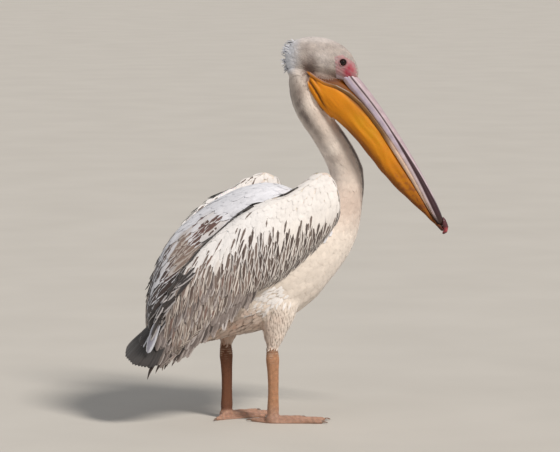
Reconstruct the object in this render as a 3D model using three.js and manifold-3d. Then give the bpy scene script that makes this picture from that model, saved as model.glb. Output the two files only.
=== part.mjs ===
// A great white pelican, nearly grown, standing on both feet with its wings folded and its bill held
// down: a still, life-size model such as a museum shows.
// Millimetres, +Z up. The bird looks along +X, its left side is towards +Y, and the floor is at Z = 0.
import * as THREE from 'three';
import { mergeVertices } from 'three/addons/utils/BufferGeometryUtils.js';
import Module from 'manifold-3d';

const wasm = await Module();
wasm.setup();

// ---------------------------------------------------------------- driving sizes
const GAP = 0.3; // clearance between two pieces that touch
const CUTTER = 2000; // a block larger than the bird, for cutting along a plane

const NECK_TOP = new THREE.Vector3(99, 0, 749); // where the neck enters the head
const HEAD_TURN = THREE.MathUtils.degToRad(-26); // the head looks past the right wing
const BILL_LENGTH = 426; // along the culmen, from the forehead to the tip
const BILL_BASE_DIP = THREE.MathUtils.degToRad(51); // slope of the culmen below level at the forehead
const BILL_TIP_DIP = THREE.MathUtils.degToRad(66); // and at the tip
const NAIL_LENGTH = 22; // the hooked nail at the end of the upper bill
const EYE_RADIUS = 8.5;
const EYE_PLACE = new THREE.Vector3(91, 20, 57); // ahead of the neck's top, out to the side, and up
const CULMEN_START = new THREE.Vector2(111, 40); // where the bill leaves the forehead

const HIP_HALF_SPACING = 55; // each leg's distance from the middle of the body
const LEFT_LEG_BACK = 69; // the left foot stands this far behind the right one
const LEG_X = 4; // where the right shank stands
const HOCK_HEIGHT = 152;
const ANKLE_HEIGHT = 13;
const WEB_THICKNESS = 3;
const FOOT_SPLAY = THREE.MathUtils.degToRad(7); // each foot points outwards a little

const WRIST = new THREE.Vector3(150, 97, 504); // the folded wing's front end
const LEFT_WING_BACK = 27; // the left wing is folded a little further back
const LEFT_WING_TUCK = 0.17; // its front half is drawn in by this share of its length
const LEFT_WING_DIP = 0.035; // and points a little lower, as a fall over its length
const TAIL_ROLL = -0.38; // radians that the fan's tip is turned about its length
const TAIL_ROOF = 420; // the larger, the flatter the fan

// ---------------------------------------------------------------- colours
const plumage = { color: 0xe6dccf, roughness: 0.9, metalness: 0 };
const streaked = { color: 0xb7aa9c, roughness: 0.85, metalness: 0 };
const darkQuill = { color: 0x3d3430, roughness: 0.7, metalness: 0 };
const billHorn = { color: 0xa79bb0, roughness: 0.45, metalness: 0 };
const nailHorn = { color: 0xb5545a, roughness: 0.4, metalness: 0 };
const pouchSkin = { color: 0xd98a1e, roughness: 0.5, metalness: 0 };
const legSkin = { color: 0xb98055, roughness: 0.65, metalness: 0 };
const clawHorn = { color: 0x6a5a4c, roughness: 0.45, metalness: 0 };
const eyeDark = { color: 0x21130f, roughness: 0.1, metalness: 0 };

const LEFT = new THREE.Vector3(0, 1, 0);
const UP = new THREE.Vector3(0, 0, 1);

// ---------------------------------------------------------------- shaping helpers
// A smooth value along a length: stations are [place, value] pairs, places rising from 0 to 1.
function along(...stations) {
  const last = stations.length - 1;
  const slope = (i) => {
    const a = stations[Math.max(i - 1, 0)];
    const b = stations[Math.min(i + 1, last)];
    return (b[1] - a[1]) / (b[0] - a[0]);
  };
  return (t) => {
    let i = 0;
    while (i < last - 1 && t > stations[i + 1][0]) i += 1;
    const [t0, v0] = stations[i];
    const [t1, v1] = stations[i + 1];
    const span = t1 - t0;
    const s = (t - t0) / span;
    const rise = v1 - v0;
    const a = slope(i) * span - rise;
    const b = -slope(i + 1) * span + rise;
    return v0 + rise * s + s * (1 - s) * (a * (1 - s) + b * s);
  };
}

// 0 at either end of a length and 1 between, rounded like a dome over the first and the last share of it.
function domed(t, first, last) {
  const start = Math.min(t / first, 1);
  const end = Math.min((1 - t) / last, 1);
  return Math.sqrt(1 - (1 - start) ** 2) * Math.sqrt(1 - (1 - end) ** 2);
}

function curveThrough(...points) {
  return new THREE.CatmullRomCurve3(points.map((p) => new THREE.Vector3(...p)), false, 'centripetal');
}

function signedPower(value, power) {
  return Math.sign(value) * Math.abs(value) ** power;
}

// A closed body swept along a path. across is the direction of its width. section(t) gives side (half
// width), up and down (half heights), and may give bend (how far the section curls to one side), lean (its
// roll, in radians) and square (2 is an ellipse, more is boxier). grow makes the body larger all round.
function sweep({ path, across, section, rings, sides, grow = 0, evenness = 0.35 }) {
  const positions = [];
  const faces = [];
  const first = path.getPointAt(0).addScaledVector(path.getTangentAt(0), -grow);
  positions.push(first.x, first.y, first.z);
  for (let i = 1; i <= rings; i += 1) {
    const even = i / (rings + 1);
    const t = evenness * even + (1 - evenness) * (1 - Math.cos(Math.PI * even)) / 2;
    const centre = path.getPointAt(t);
    const forward = path.getTangentAt(t);
    const upward = new THREE.Vector3().crossVectors(forward, across).normalize();
    const sideways = new THREE.Vector3().crossVectors(upward, forward).normalize();
    const { side, up, down, bend = 0, lean = 0, square = 2 } = section(t);
    upward.applyAxisAngle(forward, lean);
    sideways.applyAxisAngle(forward, lean);
    for (let j = 0; j < sides; j += 1) {
      const turn = (2 * Math.PI * j) / sides;
      const high = signedPower(Math.sin(turn), 2 / square);
      const wide = signedPower(Math.cos(turn), 2 / square) * (side + grow) - bend * high ** 2;
      const tall = high * ((high > 0 ? up : down) + grow);
      const point = centre.clone().addScaledVector(sideways, wide).addScaledVector(upward, tall);
      positions.push(point.x, point.y, point.z);
    }
  }
  const end = path.getPointAt(1).addScaledVector(path.getTangentAt(1), grow);
  positions.push(end.x, end.y, end.z);
  const lastPoint = positions.length / 3 - 1;
  const at = (ring, j) => 1 + ring * sides + (j % sides);
  for (let j = 0; j < sides; j += 1) {
    faces.push(0, at(0, j + 1), at(0, j));
    faces.push(lastPoint, at(rings - 1, j), at(rings - 1, j + 1));
    for (let i = 0; i < rings - 1; i += 1) {
      faces.push(at(i, j), at(i, j + 1), at(i + 1, j));
      faces.push(at(i, j + 1), at(i + 1, j + 1), at(i + 1, j));
    }
  }
  const geometry = new THREE.BufferGeometry();
  geometry.setAttribute('position', new THREE.Float32BufferAttribute(positions, 3));
  geometry.setIndex(faces);
  return geometry;
}

// ---------------------------------------------------------------- joining and cutting
function solidOf(geometry, place = new THREE.Matrix4()) {
  const bare = geometry.clone();
  bare.deleteAttribute('normal');
  bare.deleteAttribute('uv');
  bare.applyMatrix4(place);
  const merged = mergeVertices(bare, 1e-4);
  const solid = new wasm.Manifold(new wasm.Mesh({
    numProp: 3,
    vertProperties: new Float32Array(merged.attributes.position.array),
    triVerts: new Uint32Array(merged.index.array),
  }));
  if (solid.volume() < 0) {
    throw new Error('a piece is inside out');
  }
  return solid;
}

function geometryOf(solid, place = new THREE.Matrix4()) {
  const mesh = solid.getMesh();
  const geometry = new THREE.BufferGeometry();
  geometry.setAttribute('position', new THREE.BufferAttribute(new Float32Array(mesh.vertProperties), 3));
  geometry.setIndex(new THREE.BufferAttribute(new Uint32Array(mesh.triVerts), 1));
  geometry.applyMatrix4(place.clone().invert());
  geometry.computeVertexNormals();
  return geometry;
}

// The largest of the bodies a cut leaves.
function largest(solid) {
  const bodies = solid.decompose();
  return bodies.reduce((best, body) => (body.volume() > best.volume() ? body : best));
}

function cutBy(solid, ...tools) {
  return largest(tools.reduce((rest, tool) => rest.subtract(tool), solid));
}

function meshOf(name, solid, look, group) {
  group.updateWorldMatrix(true, false);
  const mesh = new THREE.Mesh(geometryOf(solid, group.matrixWorld), new THREE.MeshStandardMaterial(look));
  mesh.name = name;
  group.add(mesh);
}

// ---------------------------------------------------------------- groups
const pelican = new THREE.Group();
const headGroup = new THREE.Group();
headGroup.position.copy(NECK_TOP);
headGroup.rotation.z = HEAD_TURN;
pelican.add(headGroup);
headGroup.updateWorldMatrix(true, false);

const SIDES = [[-1, 'right'], [1, 'left']];
const inHead = (geometry) => solidOf(geometry, headGroup.matrixWorld);

// ---------------------------------------------------------------- trunk and neck
// One body from the root of the tail to the top of the neck. It is parted afterwards by thin cuts.
function torso(grow) {
  const path = curveThrough(
    [-262, 0, 186], [-190, 0, 258], [-110, 0, 326], [-20, 0, 378], [80, 0, 404], [150, 0, 440],
    [192, 0, 498], [205, 0, 546], [185, 0, 598], [157, 0, 642], [111, 0, 706], [97, 0, 752],
    [100, 0, 800],
  );
  const half = along([0, 34], [0.1, 58], [0.2, 86], [0.31, 110], [0.41, 116], [0.5, 100], [0.57, 70],
    [0.64, 45], [0.7, 36], [0.78, 33.5], [0.88, 31.5], [1, 29]);
  const back = along([0, 26], [0.1, 94], [0.2, 138], [0.31, 150], [0.41, 149], [0.5, 123], [0.57, 64],
    [0.64, 40], [0.7, 37], [0.78, 36], [0.88, 33], [1, 30]);
  const front = along([0, 34], [0.1, 92], [0.2, 146], [0.31, 176], [0.41, 165], [0.5, 117], [0.57, 83],
    [0.64, 53], [0.7, 42], [0.78, 37], [0.88, 33], [1, 30]);
  const section = (t) => {
    const round = domed(t, 0.06, 0.03);
    return { side: half(t) * round, up: back(t) * round, down: front(t) * round, square: 2.1 };
  };
  return sweep({ path, across: LEFT, section, rings: 36, sides: 20, grow, evenness: 0.8 });
}

// ---------------------------------------------------------------- head and bill, in the head's own frame
function skull(grow) {
  const path = curveThrough([-44, 0, 58], [-8, 0, 68], [38, 0, 69], [82, 0, 54], [124, 0, 20]);
  const half = along([0, 24], [0.2, 30], [0.45, 33], [0.7, 28], [0.88, 23], [1, 20]);
  const crown = along([0, 30], [0.2, 42], [0.45, 45], [0.7, 38], [0.88, 22], [1, 14]);
  const cheek = along([0, 26], [0.2, 38], [0.45, 46], [0.7, 38], [0.88, 28], [1, 22]);
  const section = (t) => {
    const round = domed(t, 0.2, 0.12);
    return { side: half(t) * round, up: crown(t) * round, down: cheek(t) * round };
  };
  return sweep({ path, across: LEFT, section, rings: 12, sides: 14, grow });
}

// A point a distance along the culmen's arc, drop below it and side to its left.
function underCulmen(length, drop = 0, side = 0) {
  const dip = (at) => BILL_BASE_DIP + (BILL_TIP_DIP - BILL_BASE_DIP) * (at / BILL_LENGTH);
  const radius = BILL_LENGTH / (BILL_TIP_DIP - BILL_BASE_DIP);
  const x = CULMEN_START.x + radius * (Math.sin(dip(length)) - Math.sin(BILL_BASE_DIP));
  const z = CULMEN_START.y + radius * (Math.cos(dip(length)) - Math.cos(BILL_BASE_DIP));
  return [x - drop * Math.sin(dip(length)), side, z - drop * Math.cos(dip(length))];
}

function upperBillBody(grow) {
  const stations = [-34, 40, 120, 200, 280, 350, BILL_LENGTH - NAIL_LENGTH + 6];
  const path = curveThrough(...stations.map((s) => underCulmen(s, s < 0 ? 17 : 12)));
  const half = along([0, 22], [0.2, 21], [0.5, 18], [0.8, 17], [0.93, 17], [1, 13]);
  const ridge = along([0, 10], [0.1, 12.5], [0.4, 12], [0.8, 11], [1, 9]);
  const palate = along([0, 16], [0.12, 18], [0.3, 13], [0.6, 10.5], [1, 7]);
  const section = (t) => {
    const round = domed(t, 0.04, 0.05);
    return { side: half(t) * round, up: ridge(t) * round, down: palate(t) * round, square: 2.3 };
  };
  return sweep({ path, across: LEFT, section, rings: 16, sides: 12, grow });
}

// The nail curls down over the end of the bill.
function nailBody(grow) {
  const path = curveThrough(
    underCulmen(BILL_LENGTH - NAIL_LENGTH - 16, 6), underCulmen(BILL_LENGTH - NAIL_LENGTH + 2, 6),
    underCulmen(BILL_LENGTH - 6, 8), underCulmen(BILL_LENGTH, 20),
  );
  const section = (t) => {
    const round = domed(t, 0.3, 0.7);
    return { side: 9.5 * round, up: 6.5 * round, down: 7 * round };
  };
  return sweep({ path, across: LEFT, section, rings: 6, sides: 10, grow });
}

// Two slender arms under the edges of the upper bill, joined near the tip. The pouch hangs between them.
function lowerBillArm(side, grow) {
  const path = curveThrough(
    [6, 28 * side, 40], [44, 29 * side, 13], [84, 26 * side, -1], underCulmen(60, 33, 21 * side),
    underCulmen(140, 28, 17 * side), underCulmen(240, 26, 14 * side), underCulmen(330, 23, 10 * side),
    underCulmen(BILL_LENGTH - 22, 19, 3 * side), underCulmen(BILL_LENGTH - 14, 18, 0),
  );
  const thick = along([0, 3.2], [0.3, 4.2], [0.8, 3.8], [1, 3.2]);
  const deep = along([0, 5], [0.3, 6.2], [0.8, 5.4], [1, 4]);
  const section = (t) => {
    const round = domed(t, 0.03, 0.03);
    return { side: thick(t) * round, up: deep(t) * round, down: deep(t) * round };
  };
  return sweep({ path, across: LEFT, section, rings: 16, sides: 6, grow });
}

function pouchBody(grow) {
  const path = curveThrough(
    [-8, 0, 28], [28, 0, 0], [62, 0, -28], [102, 0, -66], [150, 0, -126], [200, 0, -192], [254, 0, -254],
    [325, 0, -332],
  );
  const half = along([0, 24], [0.07, 30], [0.16, 31], [0.35, 27], [0.55, 21], [0.75, 15],
    [0.9, 10], [1, 5]);
  const roof = along([0, 28], [0.12, 50], [0.3, 52], [0.5, 42], [0.7, 32], [0.86, 22], [1, 8]);
  const sag = along([0, 16], [0.08, 25], [0.15, 31], [0.24, 27], [0.37, 20], [0.52, 18], [0.68, 15],
    [0.84, 7], [1, 2]);
  const section = (t) => {
    const round = domed(t, 0.06, 0.06);
    return { side: half(t) * round, up: roof(t) * round, down: sag(t) * round };
  };
  return sweep({ path, across: LEFT, section, rings: 15, sides: 12, grow });
}

function eyeBall(side, grow) {
  const ball = new THREE.SphereGeometry(EYE_RADIUS + grow, 10, 7);
  ball.rotateX(Math.PI / 2);
  ball.translate(EYE_PLACE.x, side * EYE_PLACE.y, EYE_PLACE.z);
  return ball;
}

// ---------------------------------------------------------------- wings and tail
// A folded wing: a thick rounded shoulder in front, thinning to the quill tips beside the tail.
function foldedWing(side, grow) {
  const back = side > 0 ? LEFT_WING_BACK : 0;
  const dip = side > 0 ? LEFT_WING_DIP : 0;
  const tuck = side > 0 ? LEFT_WING_TUCK : 0;
  const dipped = ([x, y, z]) => [
    x - back - tuck * Math.max(0, x) + dip * (WRIST.z - z), y * side, z - dip * (WRIST.x - x)];
  const tip = side > 0 ? [-262, 30, 158] : [-284, 26, 116];
  const line = [WRIST.toArray(), [101, 107, 496], [36, 113, 456], [-46, 112, 398], [-128, 100, 340],
    [-190, 80, 278], [-232, 54, 206], tip];
  const path = curveThrough(...line.map(dipped));
  // how far the upper edge has slipped down the back
  const slip = side > 0
    ? along([0, 0], [0.2, 7], [0.5, 0], [0.68, 8], [0.84, 16], [1, 2])
    : along([0, -8], [0.04, -3], [0.14, 26], [0.3, 19], [0.68, 18], [0.84, 6], [1, 0]);
  const widest = along([0, 66], [0.12, 84], [0.3, 112], [0.5, 114], [0.68, 94], [0.84, 52], [1, 8]);
  const upperChord = (t) => widest(t) - slip(t);
  const lowerChord = along([0, 60], [0.12, 72], [0.3, 78], [0.5, 80], [0.68, 76], [0.84, 50], [1, 8]);
  const depth = along([0, 28], [0.25, 28], [0.5, 25], [0.72, 20], [0.86, 11], [1, 4]);
  const roll = along([0, 0.1], [0.3, 0.2], [0.6, 0.34], [0.85, 0.48], [1, 0.5]);
  const section = (t) => {
    const round = domed(t, side > 0 ? 0.11 : 0.05, 0.1);
    const hug = (lowerChord(t) ** 2 / 360) * side * round;
    return {
      side: depth(t) * round,
      up: lowerChord(t) * round, // the path runs backwards, which turns the section over
      down: upperChord(t) * round,
      bend: hug,
      lean: -roll(t) * side,
      square: 2.2,
    };
  };
  return sweep({ path, across: LEFT, section, rings: 16, sides: 12, grow });
}

// A short fan of stiff quills, tipped to the right and roofed so that its outer quills hang lower.
function tailFan() {
  const path = curveThrough([-200, 0, 266], [-254, 0, 214], [-306, 0, 142]);
  const half = along([0, 28], [0.6, 56], [1, 72]);
  const section = (t) => {
    const round = domed(t, 0.1, 0.24);
    return { side: half(t) * round, up: 6 * round, down: 6 * round, lean: TAIL_ROLL * t };
  };
  const fan = sweep({ path, across: LEFT, section, rings: 8, sides: 12 });
  const points = fan.attributes.position;
  for (let i = 0; i < points.count; i += 1) {
    const droop = points.getY(i) ** 2 / TAIL_ROOF;
    points.setX(i, points.getX(i) + droop * 0.8);
    points.setZ(i, points.getZ(i) - droop * 0.6);
  }
  return fan;
}

// ---------------------------------------------------------------- legs and feet
function legX(side) {
  return side > 0 ? LEG_X - LEFT_LEG_BACK : LEG_X;
}

function thighBody(side, grow) {
  const x = legX(side);
  const y = HIP_HALF_SPACING * side;
  const path = curveThrough([x + 14, y, 330], [x + 12, y, 262], [x + 4, y, 206], [x - 1, y, 162]);
  const girth = along([0, 50], [0.4, 50], [0.7, 33], [0.88, 22], [1, 17]);
  const section = (t) => {
    const round = domed(t, 0.25, 0.12);
    return { side: girth(t) * 0.8 * round, up: girth(t) * round, down: girth(t) * round };
  };
  return sweep({ path, across: LEFT, section, rings: 9, sides: 11, grow });
}

function shankBody(side, grow) {
  const x = legX(side);
  const y = HIP_HALF_SPACING * side;
  const path = curveThrough(
    [x - 2, y, 206], [x - 1, y, HOCK_HEIGHT], [x + 1, y, 90], [x, y, ANKLE_HEIGHT - 8],
  );
  const fore = along([0, 13], [0.2, 14], [0.28, 16.5], [0.4, 14.2], [0.7, 12.6], [0.9, 14.5], [1, 14]);
  const section = (t) => {
    const round = domed(t, 0.05, 0.08);
    return { side: fore(t) * 0.74 * round, up: fore(t) * round, down: fore(t) * round, square: 2.2 };
  };
  return sweep({ path, across: LEFT, section, rings: 10, sides: 8, grow });
}

// Four toes, all joined by webs. A bearing turns from straight ahead towards the other foot.
const TOES = [
  { name: 'outer', bearing: -23, length: 116, thick: 7 },
  { name: 'middle', bearing: 0, length: 126, thick: 7.6 },
  { name: 'inner', bearing: 27, length: 92, thick: 7 },
  { name: 'hind', bearing: 144, length: 56, thick: 5.6 },
];

function toeEnd(toe, side, reach) {
  const bearing = THREE.MathUtils.degToRad(toe.bearing) * -side;
  return new THREE.Vector2(Math.cos(bearing) * reach, Math.sin(bearing) * reach);
}

function acrossToe(toe, side) {
  return LEFT.clone().applyAxisAngle(UP, THREE.MathUtils.degToRad(toe.bearing) * -side);
}

function toeBody(toe, side) {
  const point = (share, height) => {
    const place = toeEnd(toe, side, toe.length * share);
    return [place.x, place.y, height];
  };
  const path = curveThrough(point(0, 9), point(0.3, 8), point(0.65, 5.4), point(1, 3.6));
  const girth = along([0, 1.25], [0.3, 0.95], [0.45, 1], [0.6, 0.8], [0.72, 0.86], [0.9, 0.66],
    [1, 0.55]);
  const section = (t) => {
    const round = domed(t, 0.1, 0.08);
    const half = toe.thick * girth(t) * round;
    return { side: half, up: half * 0.9, down: half * 1.3 };
  };
  return sweep({ path, across: acrossToe(toe, side), section, rings: 6, sides: 7 });
}

function clawBody(toe, side) {
  const point = (reach, height) => {
    const place = toeEnd(toe, side, reach);
    return [place.x, place.y, height];
  };
  const path = curveThrough(
    point(toe.length - 7, 3.6), point(toe.length + 3, 4.4), point(toe.length + 9, 1.6),
  );
  const section = (t) => {
    const round = domed(t, 0.2, 0.9);
    return { side: 3 * round, up: 2.6 * round, down: 2 * round };
  };
  return sweep({ path, across: acrossToe(toe, side), section, rings: 3, sides: 6 });
}

// The web's edge runs from toe tip to toe tip, scooped between them.
function webPlate(side) {
  const shape = new THREE.Shape();
  const tips = TOES.map((toe) => toeEnd(toe, side, toe.length * 0.96));
  shape.moveTo(tips[0].x, tips[0].y);
  for (let i = 1; i < tips.length; i += 1) {
    const middle = tips[i - 1].clone().add(tips[i]).multiplyScalar(i === 3 ? 0.36 : 0.43);
    shape.quadraticCurveTo(middle.x, middle.y, tips[i].x, tips[i].y);
  }
  shape.quadraticCurveTo(-14, 14 * side, 0, 15 * side);
  shape.closePath();
  return new THREE.ExtrudeGeometry(shape, {
    depth: WEB_THICKNESS,
    bevelEnabled: false,
    curveSegments: 4,
  });
}

function ankleBall() {
  const ball = new THREE.SphereGeometry(1, 10, 7);
  ball.rotateX(Math.PI / 2);
  ball.scale(19, 14, 13);
  ball.translate(1, 0, 9);
  return ball;
}

function underFloor() {
  const block = new THREE.BoxGeometry(CUTTER, CUTTER, CUTTER);
  block.translate(0, 0, -CUTTER / 2);
  return solidOf(block);
}

function addFoot(side, name) {
  const group = new THREE.Group();
  group.position.set(legX(side), HIP_HALF_SPACING * side, 0);
  group.rotation.z = FOOT_SPLAY * side;
  pelican.add(group);
  group.updateWorldMatrix(true, false);
  const inFoot = (geometry) => solidOf(geometry, group.matrixWorld);
  const pieces = [webPlate(side), ankleBall(), ...TOES.map((toe) => toeBody(toe, side))];
  const whole = pieces.map(inFoot).reduce((a, b) => a.add(b));
  const flat = cutBy(whole, underFloor(), solidOf(shankBody(side, GAP)));
  meshOf(`foot_${name}`, flat, legSkin, group);
  for (const toe of TOES) {
    const sleeve = inFoot(toeBody({ ...toe, thick: toe.thick + GAP * 2 }, side));
    const claw = cutBy(inFoot(clawBody(toe, side)), sleeve, underFloor());
    meshOf(`claw_${toe.name}_${name}`, claw, clawHorn, group);
  }
}

// ---------------------------------------------------------------- assembly
function thinCut(centre, towards) {
  const neckWidth = 240;
  const slab = new THREE.BoxGeometry(neckWidth, neckWidth, GAP);
  slab.applyQuaternion(new THREE.Quaternion().setFromUnitVectors(UP, towards.clone().normalize()));
  slab.translate(centre.x, centre.y, centre.z);
  return solidOf(slab);
}

function addTorso() {
  const base = thinCut(new THREE.Vector3(199, 0, 530), new THREE.Vector3(-0.1, 0, 1));
  const middle = thinCut(new THREE.Vector3(140, 0, 668), new THREE.Vector3(-0.55, 0, 0.83));
  const sockets = inHead(skull(GAP)).add(inHead(pouchBody(GAP)));
  const whole = solidOf(torso(0)).subtract(sockets);
  const lengths = whole.subtract(base).subtract(middle).decompose();
  lengths.sort((a, b) => b.volume() - a.volume());
  const [trunk, ...neck] = lengths.slice(0, 3);
  neck.sort((a, b) => a.boundingBox().min[2] - b.boundingBox().min[2]);
  meshOf('trunk', trunk, plumage, pelican);
  meshOf('neck_lower', neck[0], plumage, pelican);
  meshOf('neck_upper', neck[1], plumage, pelican);
}

function addHead() {
  const sockets = [-1, 1].map((side) => inHead(eyeBall(side, GAP)));
  meshOf('head', cutBy(inHead(skull(0)), ...sockets), plumage, headGroup);
  meshOf('eye_right', inHead(eyeBall(-1, 0)), eyeDark, headGroup);
  meshOf('eye_left', inHead(eyeBall(1, 0)), eyeDark, headGroup);

  const head = inHead(skull(GAP));
  const neck = solidOf(torso(GAP));
  const upper = inHead(upperBillBody(GAP));
  const arms = inHead(lowerBillArm(-1, GAP)).add(inHead(lowerBillArm(1, GAP)));
  const bareArms = inHead(lowerBillArm(-1, 0)).add(inHead(lowerBillArm(1, 0)));
  meshOf('upper_bill', cutBy(inHead(upperBillBody(0)), head), billHorn, headGroup);
  meshOf('bill_nail', cutBy(inHead(nailBody(0)), upper, arms), nailHorn, headGroup);
  meshOf('lower_bill', cutBy(bareArms, head, neck, upper), billHorn, headGroup);
  const sac = cutBy(inHead(pouchBody(0)), head, upper, arms, inHead(nailBody(GAP)));
  meshOf('pouch', sac, pouchSkin, headGroup);
}

function addWingsAndTail() {
  const body = solidOf(torso(GAP));
  for (const [side, name] of SIDES) {
    const otherHalf = new THREE.BoxGeometry(CUTTER, CUTTER, CUTTER);
    otherHalf.translate(0, (CUTTER / 2 - GAP) * -side, 0);
    const wing = cutBy(solidOf(foldedWing(side, 0)), body, solidOf(otherHalf));
    meshOf(`wing_${name}`, wing, streaked, pelican);
  }
  const wings = SIDES.map(([side]) => solidOf(foldedWing(side, GAP)));
  meshOf('tail', cutBy(solidOf(tailFan()), body, ...wings), darkQuill, pelican);
}

function addLegs() {
  const body = solidOf(torso(GAP));
  for (const [side, name] of SIDES) {
    const thigh = solidOf(thighBody(side, GAP));
    meshOf(`thigh_${name}`, cutBy(solidOf(thighBody(side, 0)), body), plumage, pelican);
    meshOf(`shank_${name}`, cutBy(solidOf(shankBody(side, 0)), thigh, body), legSkin, pelican);
    addFoot(side, name);
  }
}

addTorso();
addHead();
addWingsAndTail();
addLegs();

// The origin goes under the middle of the whole bird, on the floor.
const box = new THREE.Box3().setFromObject(pelican, true);
const middle = box.getCenter(new THREE.Vector3());
pelican.position.set(-middle.x, -middle.y, -box.min.z);

export default pelican;
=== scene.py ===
import math

import bpy
import numpy as np
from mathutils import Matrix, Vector
from mathutils.bvhtree import BVHTree
from mathutils.kdtree import KDTree


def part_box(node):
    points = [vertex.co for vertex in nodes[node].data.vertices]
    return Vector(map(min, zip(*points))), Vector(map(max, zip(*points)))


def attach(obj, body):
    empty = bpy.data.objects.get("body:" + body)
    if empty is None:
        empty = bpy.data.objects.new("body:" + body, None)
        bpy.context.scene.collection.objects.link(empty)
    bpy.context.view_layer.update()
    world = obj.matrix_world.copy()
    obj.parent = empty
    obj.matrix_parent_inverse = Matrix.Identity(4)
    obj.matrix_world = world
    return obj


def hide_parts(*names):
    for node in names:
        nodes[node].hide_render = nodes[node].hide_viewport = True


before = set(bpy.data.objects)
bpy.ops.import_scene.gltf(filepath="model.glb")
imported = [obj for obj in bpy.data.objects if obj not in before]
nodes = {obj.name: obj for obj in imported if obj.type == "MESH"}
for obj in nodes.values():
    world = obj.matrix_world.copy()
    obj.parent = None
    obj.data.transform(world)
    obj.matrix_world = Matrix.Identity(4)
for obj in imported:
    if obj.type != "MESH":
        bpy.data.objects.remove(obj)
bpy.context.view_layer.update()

# A great white pelican, nearly grown, standing at ease with its bill held down. One skin carries the bare
# face, pouch and legs, and feathers of solid mesh lie over the rest of it. Lengths are in metres.

chance = np.random.default_rng(26)
MM = 0.001
UP = np.array((0.0, 0.0, 1.0))
WELL_CLEAR = 0.3  # far enough sideways from the bird's middle to be outside it
CLEAR_ABOVE = 0.2  # far enough up from a wing's ridge to be outside the bird

# ------------------------------------------------------------------------- small numeric helpers


def unit(vectors):
    length = np.linalg.norm(vectors, axis=-1, keepdims=True)
    return vectors / np.maximum(length, 1e-9)


def dot(a, b):
    return (a * b).sum(-1)


def ramp(x, start, end):
    """0 before start, 1 after end, and an even S between them."""
    t = np.clip((np.asarray(x, float) - start) / (end - start), 0, 1)
    return t * t * (3 - 2 * t)


def fade(x, start, end):
    """1 before start and 0 after end."""
    return 1 - ramp(x, start, end)


def span(x, start, full, last, end):
    """0 up to start and again from end, 1 between full and last."""
    return ramp(x, start, full) * fade(x, last, end)


def bump(x, centre, reach):
    """1 at centre, falling evenly to 0 at reach on either side."""
    return fade(np.abs(np.asarray(x, float) - centre), 0, reach)


def linear(hex_colour):
    """An sRGB hex colour as linear red, green and blue."""
    channels = [int(hex_colour[i : i + 2], 16) / 255 for i in (1, 3, 5)]
    return np.array([c / 12.92 if c <= 0.04045 else ((c + 0.055) / 1.055) ** 2.4 for c in channels])


def blend(a, b, share):
    """a going over into b by that share. A colour may be given as hex."""
    a, b = (linear(x) if isinstance(x, str) else x for x in (a, b))
    share = np.asarray(share)[..., None]
    return a * (1 - share) + b * share


def lay(tint, *layers):
    """Lays each (colour, share) over the tint in turn."""
    for colour, share in layers:
        tint = blend(tint, colour, share)
    return tint


def mottle(points, size, seed):
    """Smooth uneven values from about -1 to 1, with patches of the given size."""
    waves = np.random.default_rng(seed)
    total = 0
    for _ in range(9):
        direction = unit(waves.normal(size=3))
        pace = 2 * math.pi / size * waves.uniform(0.6, 1.5)
        total = total + np.sin(points @ direction * pace + waves.uniform(0, 6.3))
    return total / 3.2


def middle(node):
    low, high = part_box(node)
    return np.array((low + high) / 2)


# ------------------------------------------------------------------------- where things are

EYES = {-1: middle("eye_right"), 1: middle("eye_left")}
ACROSS = unit(EYES[1] - EYES[-1])
AHEAD = np.array((ACROSS[1], -ACROSS[0], 0.0))
EYE_AHEAD, EYE_UP = 91 * MM, 57 * MM  # the eyes, seen from the middle of the neck's top
HEAD_ROOT = (EYES[1] + EYES[-1]) / 2 - AHEAD * EYE_AHEAD - UP * EYE_UP
BILL_LENGTH = 426 * MM
BILL_START = HEAD_ROOT + AHEAD * 111 * MM + UP * 40 * MM
BILL_DIP = (51, 66)  # degrees below level where the bill starts and at its tip

# The line that the coat follows, from the head down the neck and through the body to the tail.
BODY_LINE = np.array([
    (56, 0, 780), (57, 0, 749), (69, 2, 706), (114, 4, 642), (142, 4, 598), (162, 4, 546), (149, 4, 498),
    (107, 4, 440), (37, 4, 404), (-63, 4, 378), (-153, 4, 326), (-233, 4, 258), (-307, 4, 186),
]) * MM


def in_head(points):
    """How far each point is ahead of the neck's top, to the left, and up, in mm."""
    away = (points - HEAD_ROOT) / MM
    return away @ AHEAD, away @ ACROSS, away @ UP


def finely(line, count):
    """The line with many even steps."""
    steps = np.concatenate(([0], np.cumsum(np.linalg.norm(np.diff(line, axis=0), axis=1))))
    at = np.linspace(0, steps[-1], count)
    return np.stack([np.interp(at, steps, line[:, i]) for i in range(3)], axis=1)


def culmen(count=120):
    """The ridge of the bill, from the forehead to the tip."""
    dip = np.radians(np.linspace(*BILL_DIP, count))
    steps = AHEAD * np.cos(dip)[:, None] - UP * np.sin(dip)[:, None]
    return BILL_START + np.cumsum(steps, axis=0) * BILL_LENGTH / count


def along_bill(points):
    """For each point, its share of the way along the bill and its depth in mm below the ridge."""
    ridge = culmen()
    course = unit(np.gradient(ridge, axis=0))
    flat = points - ACROSS * dot(points - BILL_START, ACROSS)[:, None]
    share = np.zeros(len(points))
    below = np.zeros(len(points))
    for start in range(0, len(points), 4000):
        part = flat[start : start + 4000]
        nearest = np.linalg.norm(part[:, None] - ridge[None], axis=2).argmin(1)
        away = part - ridge[nearest]
        past = dot(away, course[nearest])
        share[start : start + 4000] = nearest / (len(ridge) - 1) + past / BILL_LENGTH
        below[start : start + 4000] = np.linalg.norm(away - course[nearest] * past[:, None], axis=1) / MM
    return np.clip(share, 0, 1), below


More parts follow.
